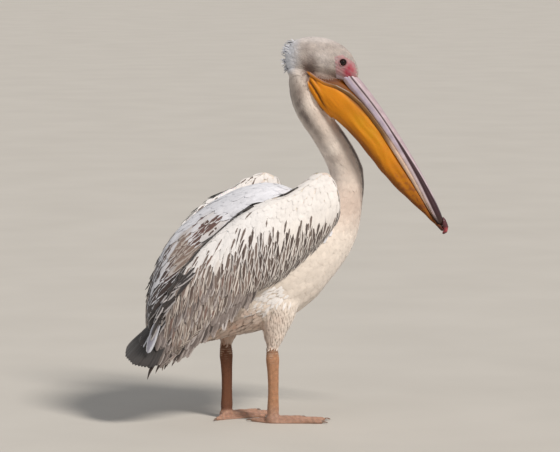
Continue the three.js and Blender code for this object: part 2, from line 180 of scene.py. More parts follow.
class Wing:
    """A folded wing seen from its side: along runs from the wrist to the tip, down from edge to edge."""

    def __init__(self, name, side):
        self.side = side
        self.name = name
        points = points_of(nodes[name])
        low, high = points.min(0), points.max(0)
        self.wrist = np.array((high[0], 0, high[2]))
        self.axis = unit(np.array((low[0] - high[0], 0, low[2] - high[2])))
        self.fall = np.array((-self.axis[2], 0, self.axis[0]))
        self.length = np.linalg.norm((high - low)[[0, 2]])
        along, down = self.plain(points)
        self.stops = np.linspace(along.min(), along.max(), 24)
        reach = (self.stops[1] - self.stops[0]) * 1.2
        near = [np.abs(along - stop) < reach for stop in self.stops]
        self.top = np.array([down[n].min() for n in near])
        self.foot = np.array([down[n].max() for n in near])
        self.ridge = np.array([points[n][down[n].argmin(), 1] for n in near])
        self.tree = tree_of(nodes[name])

    def plain(self, points):
        away = points - self.wrist
        return away @ self.axis / self.length, away @ self.fall

    def place(self, points):
        """Each point's share along the wing, and its share from the upper edge to the lower one."""
        along, down = self.plain(points)
        top = np.interp(along, self.stops, self.top)
        foot = np.interp(along, self.stops, self.foot)
        return along, (down - top) / np.maximum(foot - top, 1 * MM)

    def reach(self, points, lie):
        """How far a feather runs along its lie from each point until it comes to the lower edge."""
        along, down = self.plain(points)
        run = np.zeros(len(points))
        for _ in range(6):
            foot = np.interp(along + run * (lie @ self.axis) / self.length, self.stops, self.foot)
            run = (foot - down) / np.maximum(lie @ self.fall, 0.2)
        return run

    def rest(self, paths, inset):
        """Lays flat paths on the wing's outer face, and gives the way out from it along each of them."""
        outwards = np.zeros_like(paths)
        centre = middle(self.name)[1]
        beside = centre + self.side * WELL_CLEAR
        inwards = Vector((0, -self.side, 0))
        for path, outward in zip(paths, outwards):
            found = [self.tree.ray_cast(Vector((x, beside, z)), inwards) for x, _, z in path]
            hits = [i for i, hit in enumerate(found) if hit[0]]
            if hits:
                path[:, 1] = np.interp(range(len(path)), hits, [found[i][0].y for i in hits])
                outward[:] = unit(np.mean([found[i][1] for i in hits], axis=0))
            else:
                path[:, 1] = centre
                outward[:] = (0, self.side, 0)
            path[:, 1] -= self.side * inset
        return paths, outwards

    def point(self, along, share):
        """The place beside the bird at that share along and down the wing."""
        top = np.interp(along, self.stops, self.top)
        foot = np.interp(along, self.stops, self.foot)
        down = top + (foot - top) * share
        return self.wrist + self.axis * along * self.length + self.fall * down


# ------------------------------------------------------------------------- Blender helpers


def read(items, key, width, kind=np.float32):
    """One value of every item in a Blender collection, as rows of that width."""
    values = np.empty(len(items) * width, kind)
    items.foreach_get(key, values)
    return values.reshape(-1, width)


def points_of(piece):
    return read(piece.data.vertices, "co", 3).astype(float)


def normals_of(piece):
    return read(piece.data.vertex_normals, "vector", 3).astype(float)


def edges_of(piece):
    return read(piece.data.edges, "vertices", 2, np.int32)


def move_points(piece, points):
    piece.data.vertices.foreach_set("co", points.astype(np.float32).ravel())
    piece.data.update()


def push_out(piece, distance):
    """Moves each point outwards along its normal."""
    move_points(piece, points_of(piece) + normals_of(piece) * np.asarray(distance)[..., None])


def tree_of(piece):
    data = piece.data
    return BVHTree.FromPolygons([v.co for v in data.vertices], [p.vertices for p in data.polygons])


def even_out(values, edges, rounds):
    """Values at points, each drawn towards its neighbours' mean, over and over."""
    values = np.array(values, float)
    wide = values if values.ndim == 2 else values[:, None]
    count = np.bincount(edges.ravel(), minlength=len(wide))[:, None]
    for _ in range(rounds):
        total = np.zeros_like(wide)
        for column in range(wide.shape[1]):
            total[:, column] = np.bincount(edges[:, 0], wide[edges[:, 1], column], len(wide))
            total[:, column] += np.bincount(edges[:, 1], wide[edges[:, 0], column], len(wide))
        wide = wide * 0.4 + total / np.maximum(count, 1) * 0.6
    return wide if values.ndim == 2 else wide[:, 0]


def only(piece):
    bpy.ops.object.select_all(action="DESELECT")
    piece.select_set(True)
    bpy.context.view_layer.objects.active = piece


def finish_with(piece, kind, **settings):
    """Adds a modifier and applies it."""
    only(piece)
    modifier = piece.modifiers.new(kind.lower(), kind)
    for name, value in settings.items():
        setattr(modifier, name, value)
    bpy.ops.object.modifier_apply(modifier=modifier.name)


def finish_part(piece, weights, kind, **settings):
    """Adds a modifier and applies it, only to the points that have a weight."""
    group = piece.vertex_groups.new(name="part")
    for weight in np.unique(weights[weights > 0]):
        group.add(np.nonzero(weights == weight)[0].tolist(), float(weight), "REPLACE")
    finish_with(piece, kind, vertex_group="part", **settings)
    piece.vertex_groups.clear()


def edit_all(piece, operator, **settings):
    """Uses a mesh operator on the whole piece."""
    only(piece)
    bpy.ops.object.mode_set(mode="EDIT")
    bpy.ops.mesh.select_all(action="SELECT")
    operator(**settings)
    bpy.ops.object.mode_set(mode="OBJECT")


def copy_of(names, name):
    """One new piece from copies of these CAD nodes, with their loose triangles merged."""
    bpy.ops.object.select_all(action="DESELECT")
    for node in names:
        nodes[node].select_set(True)
    bpy.context.view_layer.objects.active = nodes[names[0]]
    bpy.ops.object.duplicate()
    piece = bpy.context.view_layer.objects.active
    if len(names) > 1:
        bpy.ops.object.join()
    for key in list(piece.keys()):
        del piece[key]
    piece.parent = None
    piece.name = name
    piece.data.name = name
    piece.data.materials.clear()
    edit_all(piece, bpy.ops.mesh.remove_doubles, threshold=0.01 * MM)
    return piece


def smooth_copy(node, name, grain, rounds, swell):
    """A copy of a CAD node with its flats rounded off. swell gives back what smoothing takes."""
    piece = copy_of([node], name)
    finish_with(piece, "REMESH", mode="VOXEL", voxel_size=grain)
    finish_with(piece, "SMOOTH", factor=0.5, iterations=rounds)
    push_out(piece, swell)
    bpy.ops.object.shade_smooth()
    return piece


def paint(piece, name, colours):
    """Keeps a linear colour at each point of the piece, which its material reads by name."""
    layer = piece.data.attributes.new(name, "FLOAT_COLOR", "POINT")
    rgba = np.ones((len(colours), 4), np.float32)
    rgba[:, :3] = colours
    layer.data.foreach_set("color", rgba.ravel())


def grade(piece, name, values):
    """Keeps a number at each point of the piece."""
    layer = piece.data.attributes.new(name, "FLOAT", "POINT")
    layer.data.foreach_set("value", np.asarray(values, np.float32))


def settle(piece, slot, *replaced):
    """The piece moves with the bird and stands for CAD nodes, which are hidden. slot is not used."""
    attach(piece, "root")
    if replaced:
        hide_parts(*replaced)


# ------------------------------------------------------------------------- materials


def material(name):
    """A new material, its nodes, and its main shader."""
    made = bpy.data.materials.new(name)
    made.use_nodes = True
    return made, made.node_tree, made.node_tree.nodes["Principled BSDF"]


def feed(tree, node, inputs):
    """Links each input to the output given for it, or fixes it at the value given."""
    for key, value in inputs.items():
        if isinstance(value, bpy.types.NodeSocket):
            tree.links.new(value, node.inputs[key])
        else:
            node.inputs[key].default_value = value


def add(tree, kind, inputs=None, **settings):
    """Adds a node with its settings, and with its inputs linked or fixed."""
    node = tree.nodes.new("ShaderNode" + kind)
    for key, value in settings.items():
        setattr(node, key, value)
    feed(tree, node, inputs or {})
    return node


def feather_material():
    """Contour feathers: keratin vanes with a pale rim, a darker middle and barbs that catch light softly."""
    made, tree, shader = material("feather_vane_keratin")
    unwrap = add(tree, "UVMap", uv_map="Vane")
    vane = add(tree, "SeparateXYZ", {"Vector": unwrap.outputs["UV"]}).outputs
    rim = add(tree, "Attribute", attribute_name="rim_tint")
    heart = add(tree, "Attribute", attribute_name="heart_tint")
    broad = add(tree, "Attribute", attribute_name="heart_breadth")
    place = add(tree, "TexCoord").outputs["Object"]
    # across: 0 on the shaft and 1 at the vane's edge
    off_shaft = add(tree, "Math", {0: vane["X"], 1: 0.5}, operation="SUBTRACT")
    size = add(tree, "Math", {0: off_shaft.outputs[0]}, operation="ABSOLUTE")
    across = add(tree, "Math", {0: size.outputs[0], 1: 2.0}, operation="MULTIPLY")
    # barbs run outwards and towards the tip, drawn in clumps about 2 mm apart so that they show
    slant = add(tree, "Math", {0: across.outputs[0], 1: 0.35}, operation="MULTIPLY")
    height = add(tree, "Math", {0: vane["Y"], 1: slant.outputs[0]}, operation="SUBTRACT")
    lines = add(tree, "CombineXYZ", {"Y": height.outputs[0]})
    drawn = {0: lines.outputs[0], 1: (24, 24, 24), 2: place}
    joined = add(tree, "VectorMath", drawn, operation="MULTIPLY_ADD")
    barbs = add(tree, "TexNoise", {"Vector": joined.outputs[0], "Scale": 1.0, "Detail": 2.0})
    # patches of dust about 11 mm across
    grime = add(tree, "TexNoise", {"Vector": place, "Scale": 90.0, "Detail": 3.0})
    ragged = add(tree, "Math", {0: barbs.outputs["Fac"], 1: 0.5, 2: -0.25}, operation="MULTIPLY_ADD")
    edge = add(tree, "Math", {0: across.outputs[0], 1: ragged.outputs[0]}, operation="ADD")
    # the dark middle narrows to a point short of the tip
    narrowing = {"Value": vane["Y"], "From Min": 0.7, "From Max": 1.0, "To Min": 1.0, "To Max": 0.3}
    taper = add(tree, "MapRange", narrowing, interpolation_type="SMOOTHSTEP")
    reach = add(tree, "Math", {0: taper.outputs[0], 1: broad.outputs["Fac"]}, operation="MULTIPLY")
    inside = add(tree, "Math", {0: reach.outputs[0], 1: edge.outputs[0]}, operation="SUBTRACT")
    passing = {"Value": inside.outputs[0], "From Min": -0.16, "From Max": 0.2}
    in_heart = add(tree, "MapRange", passing, interpolation_type="SMOOTHSTEP")
    tints = {"Factor": in_heart.outputs[0], "A": rim.outputs["Color"], "B": heart.outputs["Color"]}
    colour = add(tree, "Mix", tints, data_type="RGBA")
    tone = add(tree, "MapRange", {"Value": barbs.outputs["Fac"], "To Min": 0.9, "To Max": 1.07})
    soil = add(tree, "MapRange", {
        "Value": grime.outputs["Fac"], "From Min": 0.3, "From Max": 0.7, "To Min": 0.94, "To Max": 1.04,
    })
    both = add(tree, "Math", {0: tone.outputs[0], 1: soil.outputs[0]}, operation="MULTIPLY")
    worn = add(tree, "VectorMath", {0: colour.outputs["Result"], "Scale": both.outputs[0]}, operation="SCALE")
    relief = add(tree, "Bump", {"Height": barbs.outputs["Fac"], "Strength": 0.25, "Distance": 0.6 * MM})
    feed(tree, shader, {
        "Base Color": worn.outputs[0], "Normal": relief.outputs[0], "Roughness": 0.72,
        "Specular IOR Level": 0.3, "Sheen Weight": 0.25, "Sheen Roughness": 0.6,
    })
    return made


def skin_material():
    """Bare and feathered skin: thin, finely pebbled and slightly moist, coloured point by point."""
    made, tree, shader = material("bird_skin")
    tint = add(tree, "Attribute", attribute_name="tint")
    scaly = add(tree, "Attribute", attribute_name="scaly")
    place = add(tree, "TexCoord").outputs["Object"]
    # pebbles about 2.4 mm across, and scutes on the legs about 4 mm across
    grain = add(tree, "TexNoise", {"Vector": place, "Scale": 420.0, "Detail": 3.0})
    scutes = add(tree, "TexVoronoi", {"Vector": place, "Scale": 260.0}, feature="DISTANCE_TO_EDGE")
    seams = add(tree, "MapRange", {"Value": scutes.outputs["Distance"], "From Max": 0.12})
    joined = {"Factor": scaly.outputs["Fac"], "A": 1.0, "B": seams.outputs[0]}
    scales = add(tree, "Mix", joined, data_type="FLOAT")
    tone = add(tree, "MapRange", {"Value": grain.outputs["Fac"], "To Min": 0.86, "To Max": 1.12})
    dark = add(tree, "MapRange", {"Value": scales.outputs["Result"], "To Min": 0.78})
    both = add(tree, "Math", {0: tone.outputs[0], 1: dark.outputs[0]}, operation="MULTIPLY")
    colour = add(tree, "VectorMath", {0: tint.outputs["Color"], "Scale": both.outputs[0]}, operation="SCALE")
    raised = {0: grain.outputs["Fac"], 1: 0.35, 2: scales.outputs["Result"]}
    height = add(tree, "Math", raised, operation="MULTIPLY_ADD")
    relief = add(tree, "Bump", {"Height": height.outputs[0], "Strength": 0.5, "Distance": 0.5 * MM})
    feed(tree, shader, {
        "Base Color": colour.outputs[0], "Normal": relief.outputs[0], "Roughness": 0.55,
        "Specular IOR Level": 0.2, "Subsurface Weight": 0.12, "Subsurface Radius": (1.0, 0.35, 0.15),
        "Subsurface Scale": 4 * MM,
    })
    return made


def horn_material():
    """Bill horn and claws: polished keratin, faintly uneven in tone and surface."""
    made, tree, shader = material("bill_horn_keratin")
    tint = add(tree, "Attribute", attribute_name="tint")
    place = add(tree, "TexCoord").outputs["Object"]
    # growth marks about 6 mm across
    grain = add(tree, "TexNoise", {"Vector": place, "Scale": 160.0, "Detail": 4.0})
    tone = add(tree, "MapRange", {"Value": grain.outputs["Fac"], "To Min": 0.84, "To Max": 1.14})
    colour = add(tree, "VectorMath", {0: tint.outputs["Color"], "Scale": tone.outputs[0]}, operation="SCALE")
    relief = add(tree, "Bump", {"Height": grain.outputs["Fac"], "Strength": 0.25, "Distance": 0.4 * MM})
    feed(tree, shader, {
        "Base Color": colour.outputs[0], "Normal": relief.outputs[0], "Roughness": 0.36, "IOR": 1.54,
    })
    return made


def eye_material():
    """A living eye: a dark brown iris round a black pupil, under a clear wet cornea."""
    made, tree, shader = material("wet_eye")
    tint = add(tree, "Attribute", attribute_name="tint")
    place = add(tree, "TexCoord").outputs["Object"]
    # the iris's fibres, about 1 mm apart
    fibres = add(tree, "TexNoise", {"Vector": place, "Scale": 900.0, "Detail": 2.0})
    tone = add(tree, "MapRange", {"Value": fibres.outputs["Fac"], "To Min": 0.7, "To Max": 1.3})
    colour = add(tree, "VectorMath", {0: tint.outputs["Color"], "Scale": tone.outputs[0]}, operation="SCALE")
    feed(tree, shader, {
        "Base Color": colour.outputs[0], "Roughness": 0.12, "Specular IOR Level": 0.2,
        "Coat Weight": 0.3, "Coat Roughness": 0.04,
    })
    return made


def floor_material():
    """A matt painted studio floor, a little cloudy."""
    made, tree, shader = material("matt_floor_paint")
    place = add(tree, "TexCoord").outputs["Object"]
    # clouds about 330 mm across
    cloud = add(tree, "TexNoise", {"Vector": place, "Scale": 3.0, "Detail": 2.0})
    tone = add(tree, "ValToRGB", {"Fac": cloud.outputs["Fac"]})
    for stop, position, colour in zip(tone.color_ramp.elements, (0.3, 0.7), ("#c4beb5", "#c9c3ba")):
        stop.position = position
        stop.color = (*linear(colour), 1)
    feed(tree, shader, {"Base Color": tone.outputs["Color"], "Roughness": 0.9})
    return made


# ------------------------------------------------------------------------- camera, light and floor

CAMERA_BEARING = math.radians(-22)  # which way the camera looks, turned from straight across the bird
CAMERA_PITCH = math.radians(5.75)
CAMERA_AIM = Vector((-0.0049, -0.0110, 0))  # the camera stands back from above this point
CAMERA_DISTANCE = 7.6
CAMERA_HEIGHT = 1.204
CAMERA_LENS = 218.6
LAMP_AIM = Vector((0, 0, 0.4))


def bearing_vector(angle):
    return Vector((-math.sin(angle), math.cos(angle), 0))


def add_camera():
    stand = CAMERA_AIM - bearing_vector(CAMERA_BEARING) * CAMERA_DISTANCE + Vector((0, 0, CAMERA_HEIGHT))
    bpy.ops.object.camera_add(location=stand, rotation=(math.pi / 2 - CAMERA_PITCH, 0, CAMERA_BEARING))
    camera = bpy.context.object
    camera.data.lens = CAMERA_LENS
    camera.data.sensor_width = 36
    camera.data.clip_end = 100
    bpy.context.scene.camera = camera


def add_lamp(name, kind, turn, rise, distance, power, colour):
    """A soft lamp. turn is its bearing from the camera, to the right, and rise its height angle."""
    angle = CAMERA_BEARING + math.radians(turn)
    high = math.radians(rise)
    towards = -bearing_vector(angle) * math.cos(high) + Vector((0, 0, math.sin(high)))
    bpy.ops.object.light_add(type=kind, location=LAMP_AIM + towards * distance)
    light = bpy.context.object
    light.name = name
    light.rotation_euler = towards.to_track_quat("Z", "Y").to_euler()
    light.data.energy = power
    light.data.color = colour
    return light.data


def add_surroundings():
    key = add_lamp("key_light", "SUN", turn=42, rise=44, distance=5.0, power=2.95, colour=(1.0, 0.955, 0.9))
    key.angle = math.radians(14)
    fill = add_lamp("fill_light", "AREA", turn=-50, rise=25, distance=5.5, power=22, colour=(0.9, 0.95, 1.0))
    fill.size = 3.5
    world = bpy.data.worlds.new("studio_air")
    bpy.context.scene.world = world
    world.use_nodes = True
    air = world.node_tree.nodes["Background"].inputs
    air["Color"].default_value = (0.92, 0.95, 1.0, 1)
    air["Strength"].default_value = 0.36
    bpy.context.scene.view_settings.view_transform = "Standard"
    bpy.ops.mesh.primitive_plane_add(size=60, location=(0, 0, 0))
    floor = bpy.context.object
    floor.name = "studio_floor"
    floor.data.materials.append(floor_material())


# ------------------------------------------------------------------------- the skin

# How far the skin lies inside each feathered node, which is the depth of its coat.
FEATHERED = {
    "head": 1.2 * MM, "neck_upper": 2.2 * MM, "neck_lower": 3 * MM, "trunk": 4.5 * MM,
    "wing_right": 3.5 * MM, "wing_left": 3.5 * MM, "tail": 3 * MM,
    "thigh_right": 4 * MM, "thigh_left": 4 * MM,
}
BARE = ["pouch", "shank_right", "shank_left", "foot_right", "foot_left"]
FLESH = [*FEATHERED, *BARE]
SKIN_GRAIN = 2.4 * MM
HOCK = 150  # the height of the wrinkled joint in each leg, in mm


def share_of(shares, *names):
    """The share of each point that belongs to these nodes."""
    return sum(shares[:, FLESH.index(name)] for name in names)


def nearest_nodes(points):
    """For each point, a share of 1 for the flesh node with the nearest surface, and how deep inside it is."""
    best = np.full(len(points), np.inf)
    depth = np.zeros(len(points))
    which = np.zeros(len(points), int)
    for number, name in enumerate(FLESH):
        tree = tree_of(nodes[name])
        low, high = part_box(name)
        inside = np.all((points > np.array(low) - 8 * MM) & (points < np.array(high) + 8 * MM), axis=1)
        for i in np.nonzero(inside)[0]:
            surface, outwards, _, distance = tree.find_nearest(points[i])
            if distance < best[i]:
                best[i] = distance
                depth[i] = (surface - Vector(points[i])).dot(outwards)
                which[i] = number
    shares = np.zeros((len(points), len(FLESH)))
    shares[np.arange(len(points)), which] = 1
    return shares, depth


def bare_face(points):
    """1 on the bare skin round the eye, which ends behind in a straight edge, and 0 under feathers."""
    ahead, side, up = in_head(points)
    rear = 76 - 0.06 * (up - 20)
    top = 74 - 0.75 * np.clip(ahead - 92, 0, 40) - 0.3 * np.clip(88 - ahead, 0, 40)
    beside = ramp(np.abs(side), 9.5, 13)
    front = fade(ahead, 150, 160) * ramp(up, 8, 14)
    return ramp(ahead, rear - 1.5, rear + 1.5) * fade(up, top - 1.5, top + 1.5) * beside * front


def in_crease(points, shares):
    """1 in the crease where each folded wing's upper edge lies against the back, and 0 clear of it. The skin
    there is painted dark as painted shade.
    """
    crease = np.zeros(len(points))
    for wing in WINGS:
        along, down = wing.place(points)
        both = 4 * share_of(shares, wing.name) * share_of(shares, "trunk")
        start = 0.02 if wing.side < 0 else 0.3
        where = span(along, start, start + 0.08, 0.76, 0.92) * fade(down, 0.25, 0.4)
        crease = np.maximum(crease, ramp(both, 0.3, 0.8) * where)
    return crease


def from_eye(points):
    """Distance in mm from the line through both eyes, and the side offset from the nearer eye's middle."""
    ahead, side, up = in_head(points)
    half = np.linalg.norm(EYES[1] - EYES[-1]) / 2 / MM
    return np.hypot(ahead - EYE_AHEAD / MM, up - EYE_UP / MM), np.abs(side) - half


def make_skin():
    skin = copy_of(FLESH, "skin")
    finish_with(skin, "REMESH", mode="VOXEL", voxel_size=SKIN_GRAIN)
    finish_with(skin, "SMOOTH", factor=0.5, iterations=8)
    smooth_nape(skin)
    round_body(skin)
    thin_covered(skin)
    refine_round_eyes(skin)
    shares, depth = nearest_nodes(points_of(skin))
    edges = edges_of(skin)
    shares = even_out(shares, edges, 6)
    # smoothing has drawn the skin inwards where the body is most rounded, so that much is given back
    push_out(skin, even_out(np.clip(depth, 0, 7 * MM), edges, 16))
    sink_under_coat(skin, shares, edges)
    sculpt_face(skin)
    sculpt_pouch(skin, shares)
    sculpt_legs(skin, shares)
    edit_all(skin, bpy.ops.uv.smart_project, angle_limit=math.radians(66), island_margin=0.002)
    skin.data.uv_layers[0].name = "OFBake"
    bpy.ops.object.shade_smooth()
    return skin, shares


def smooth_nape(skin):
    """Fills the hollow where the back of the head meets the neck, as the nape's loose skin does."""
    ahead, _, up = in_head(points_of(skin))
    loose = bump(up, 42, 44) * ramp(-ahead, -4, 14)
    finish_part(skin, np.ceil(loose * 4) / 4, "SMOOTH", factor=0.5, iterations=120)


def round_body(skin):
    """Rounds off the body and wings more than the finer parts."""
    x, _, z = points_of(skin).T
    body = span(z, 0.18, 0.21, 0.57, 0.62) * fade(x, 0.21, 0.22)
    finish_part(skin, body > 0.5, "SMOOTH", factor=0.5, iterations=36)


def thin_covered(skin):
    """Takes out faces under the thick coat, where fewer will do than on face, pouch, legs and feet."""
    x, _, z = points_of(skin).T
    finish_part(skin, (z > 0.19) & (z < 0.62) & (x < 0.21), "DECIMATE", ratio=0.40)


def refine_round_eyes(skin):
    """Splits the faces round each eye, for the lids."""
    distance, out = from_eye(read(skin.data.polygons, "center", 3).astype(float))
    near = (distance < 17) & (out > -9) & (out < 16)
    only(skin)
    # chosen twice, because the change to choosing by faces alters what is chosen
    for operator, setting in ((bpy.ops.mesh.select_mode, {"type": "FACE"}),
                              (bpy.ops.mesh.subdivide, {"number_cuts": 2})):
        skin.data.polygons.foreach_set("select", near)
        bpy.ops.object.mode_set(mode="EDIT")
        operator(**setting)
        bpy.ops.object.mode_set(mode="OBJECT")


def sink_under_coat(skin, shares, edges):
    """Draws the skin inside the flesh nodes by the depth of the coat, and none where it is bare."""
    points = points_of(skin)
    depths = np.array([FEATHERED.get(name, 0) for name in FLESH])
    depth = shares @ depths * (1 - bare_face(points))
    depth = even_out(depth, edges, 10) * (1 - bare_face(points) * 0.9)
    # deeper under the long crest, and raised where the nape's loose skin hangs
    ahead, _, up = in_head(points)
    depth = depth + 4.5 * MM * ramp(-ahead, -10, 25) * ramp(up, 46, 66) * (1 - 0.6 * ramp(up, 90, 105))
    depth = depth - 8.5 * MM * ramp(-ahead, 6, 26) * bump(up, 37, 16)
    points = points - normals_of(skin) * depth[:, None]
    # the wings' lower edges and the tail are left to their long feathers
    for wing in WINGS:
        along, down = wing.place(points)
        on_wing = share_of(shares, wing.name)
        lift = ramp(down, 0.72, 1.0) * ramp(along, 0.4, 0.75) * 22 * MM * on_wing
        points = points - wing.fall * lift[:, None]
        points = points - wing.axis * (ramp(along, 0.86, 1.0) * 30 * MM * on_wing)[:, None]
    points = points - normals_of(skin) * (in_crease(points, shares) * 6 * MM)[:, None]
    low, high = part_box("tail")
    root = np.array((high.x, (low.y + high.y) / 2, high.z))
    points = points + (root - points) * (share_of(shares, "tail") * 0.45)[:, None]
    move_points(skin, points)


def sculpt_face(skin):
    """Lids round the eyes and fine folds in the bare skin before them."""
    points = points_of(skin)
    distance, out = from_eye(points)
    beside = ramp(out, -6, 0)
    lid = bump(distance, 7.8, 2.5) * 1.7 + bump(distance, 12.2, 1.8) * 0.35
    ahead, side, up = in_head(points)
    folds = np.sin((ahead * 0.55 + up * 0.9) * 0.9) * 0.35 * bare_face(points) * ramp(distance, 11, 16)
    outwards = np.sign(side)[:, None] * ACROSS
    move_points(skin, points + outwards * ((lid + folds) * beside * MM)[:, None])


def sculpt_pouch(skin, shares):
    """Slack folds in the pouch: long fine ones towards the tip and deep ones where it meets the throat."""
    points = points_of(skin)
    share, below = along_bill(points)
    lengthwise = np.sin(below * 0.42 + mottle(points, 0.09, 3) * 2.2) * 0.45 * ramp(share, 0.05, 0.3)
    push_out(skin, (lengthwise + throat_folds(points) * 2.0) * share_of(shares, "pouch") * MM)


def throat_folds(points):
    """The pouch's upright folds where it meets the throat: 1 on a fold's crest and -1 in a crease."""
    ahead, _, up = in_head(points)
    across = ahead + 0.62 * up + 3 * mottle(points, 0.06, 31)
    return np.sin(across * 2 * math.pi / 15) * bump(ahead + 0.35 * up, 24, 26)


def sculpt_legs(skin, shares):
    """Cross scutes down the front of each shank and toe, and wrinkles at the hock."""
    height = points_of(skin)[:, 2] / MM
    rings = np.abs(np.sin(height * math.pi / 5.5)) ** 0.5 * 0.35
    hock = np.sin(height * math.pi / 2.6) * 0.5 * bump(height, HOCK, 22)
    push_out(skin, (rings + hock - 0.2) * share_of(shares, "shank_right", "shank_left") * MM)


# ------------------------------------------------------------------------- markings

CREAM = linear("#eaddd0")
WING_WHITE = linear("#ebe6e2")
COOL_WHITE = linear("#e4e3e8")
WARM_GREY = linear("#bfac9e")
DUSK = linear("#a8968a")
DARK_BROWN = linear("#4b3b34")
BLACK_BROWN = linear("#2f2724")
RUSSET = linear("#7d5346")
TAN = linear("#9c8b80")
PALE_TAN = linear("#cfc3b8")
ORANGE = linear("#cf8012")
DEEP_ORANGE = linear("#a3560c")
LEG_TAN = linear("#b08263")
FOOT_PINK = linear("#ad8773")
FACE_PINK = linear("#c48f8e")
CRIMSON = linear("#a83c4c")
FACE_GREY = linear("#b9a3a4")
LAVENDER = linear("#cab8bd")


def cheek_edge(ahead):
    """The lowest line of the cheek's feathers, in mm above the neck's top, at each place ahead of it."""
    return np.interp(ahead, (0, 7, 40, 51, 71, 90), (48, 44, 22, 18, 20, 20))


def on_cheek(points):
    """1 where the cheek's feathers come down over the hinge of the jaw."""
    ahead, _, up = in_head(points)
    return ramp(up - cheek_edge(ahead), -0.5, 1.5) * ramp(ahead, 4, 12) * fade(ahead, 98, 106)


def round_neck(points):
    """Which way each point lies from the neck's middle line, in degrees to the left of straight ahead."""
    line = BODY_LINE[5::-1]
    x, y = (points[:, i] - np.interp(points[:, 2], line[:, 2], line[:, i]) for i in (0, 1))
    return np.degrees(np.arctan2(y, x))


def plumage_tint(points):
    """The ground colour of the feathers at each point: cream below, greyer and stained on head and neck, with
    painted shade down the back of the neck, in a thin line down its front, and on the front of the lower neck
    and breast.
    """
    ahead, _, up = in_head(points)
    forward, height = points[:, 0], points[:, 2]
    turn = round_neck(points)
    neck = ramp(height, 0.52, 0.6)
    stain = bump(height, 0.585, 0.07) * ramp(mottle(points, 0.035, 8), -0.2, 0.9)
    head = ramp(height, 0.76, 0.8)
    crown = ramp(up, 90, 108) + 0.8 * bump(np.hypot(ahead - 50, up - 64), 0, 28)
    dusky = bump(ahead, 14, 12) * span(up, 56, 70, 92, 102)
    above_cheek = up - cheek_edge(ahead)
    low_cheek = fade(above_cheek, 3, 26) * span(ahead, 0, 14, 104, 112) * ramp(height, 0.745, 0.762)
    cheek = bump(np.hypot(ahead - 26, (up - 50) * 0.8), 0, 25) * ramp(height, 0.75, 0.78)
    under_cheek = fade(above_cheek, -3, 2) * span(ahead, 26, 40, 112, 120) * (up > -60)
    nape = ramp(-ahead, -6, 30) * ramp(up, 20, 50)
    back = ramp(height, 0.30, 0.42) * ramp(-forward, 0.02, 0.1)
    belly = ramp(-forward, -0.02, 0.1) * fade(height, 0.24, 0.3)
    # painted shade: a grey-brown band down the back of the neck
    hind = bump(np.abs(turn), 152, 50) * span(height, 0.58, 0.7, 0.755, 0.785)
    # painted shade on the front of the lower neck and breast
    throat = bump(height, 0.5, 0.09) * ramp(forward, 0.09, 0.14)
    # painted shade: a thin dark line down the neck's front edge, where it turns away from view
    neck_front_shade = bump(turn, -32, 15) * span(height, 0.5, 0.53, 0.65, 0.67)
    tint = lay(
        np.tile(CREAM, (len(points), 1)),
        (WARM_GREY, neck * (0.45 + 0.2 * mottle(points, 0.05, 5))),
        (DUSK, stain * 0.5),
        ("#aea29b", head * (0.85 + 0.15 * mottle(points, 0.016, 7))),
        ("#d2c8c2", np.clip(crown, 0, 1) * head * 0.8),
        ("#8b7d76", dusky * 0.4),
        ("#6d4f42", low_cheek * 0.85),
        ("#5d483e", cheek * 0.72),
        ("#8f5420", under_cheek * ramp(height, 0.7, 0.72) * 0.9),
        ("#c4c6cd", nape * 0.8),
        (COOL_WHITE, back * 0.7),
        ("#b89a88", belly * (0.7 + 0.2 * mottle(points, 0.03, 33))),
        ("#7d6f67", hind * (0.85 + 0.25 * mottle(points, 0.025, 35))),
        ("#c2ab9c", throat * 0.75),
        ("#483a32", neck_front_shade * 0.9),
    )
    return tint * (1 + 0.05 * mottle(points, 0.03, 6))[:, None]


def face_tint(points):
    """The bare face: greyish pink, crimson below the eye, dark round it, and lavender towards the jaw."""
    ahead, _, up = in_head(points)
    distance, _ = from_eye(points)
    crimson = bump(np.hypot(ahead - 105, (up - 38) * 0.7), 0, 21)
    return lay(
        blend(FACE_PINK, FACE_GREY, 0.4 + 0.25 * mottle(points, 0.012, 9)) * 0.82,
        (CRIMSON, np.clip(crimson * (1 + 0.25 * mottle(points, 0.01, 10)), 0, 1)),
        ("#6d4444", 0.6 * bump(distance, 7.5, 4)),
        (LAVENDER, fade(up + 0.53 * (ahead - 76), 29, 33) * fade(ahead, 108, 114)),
    )


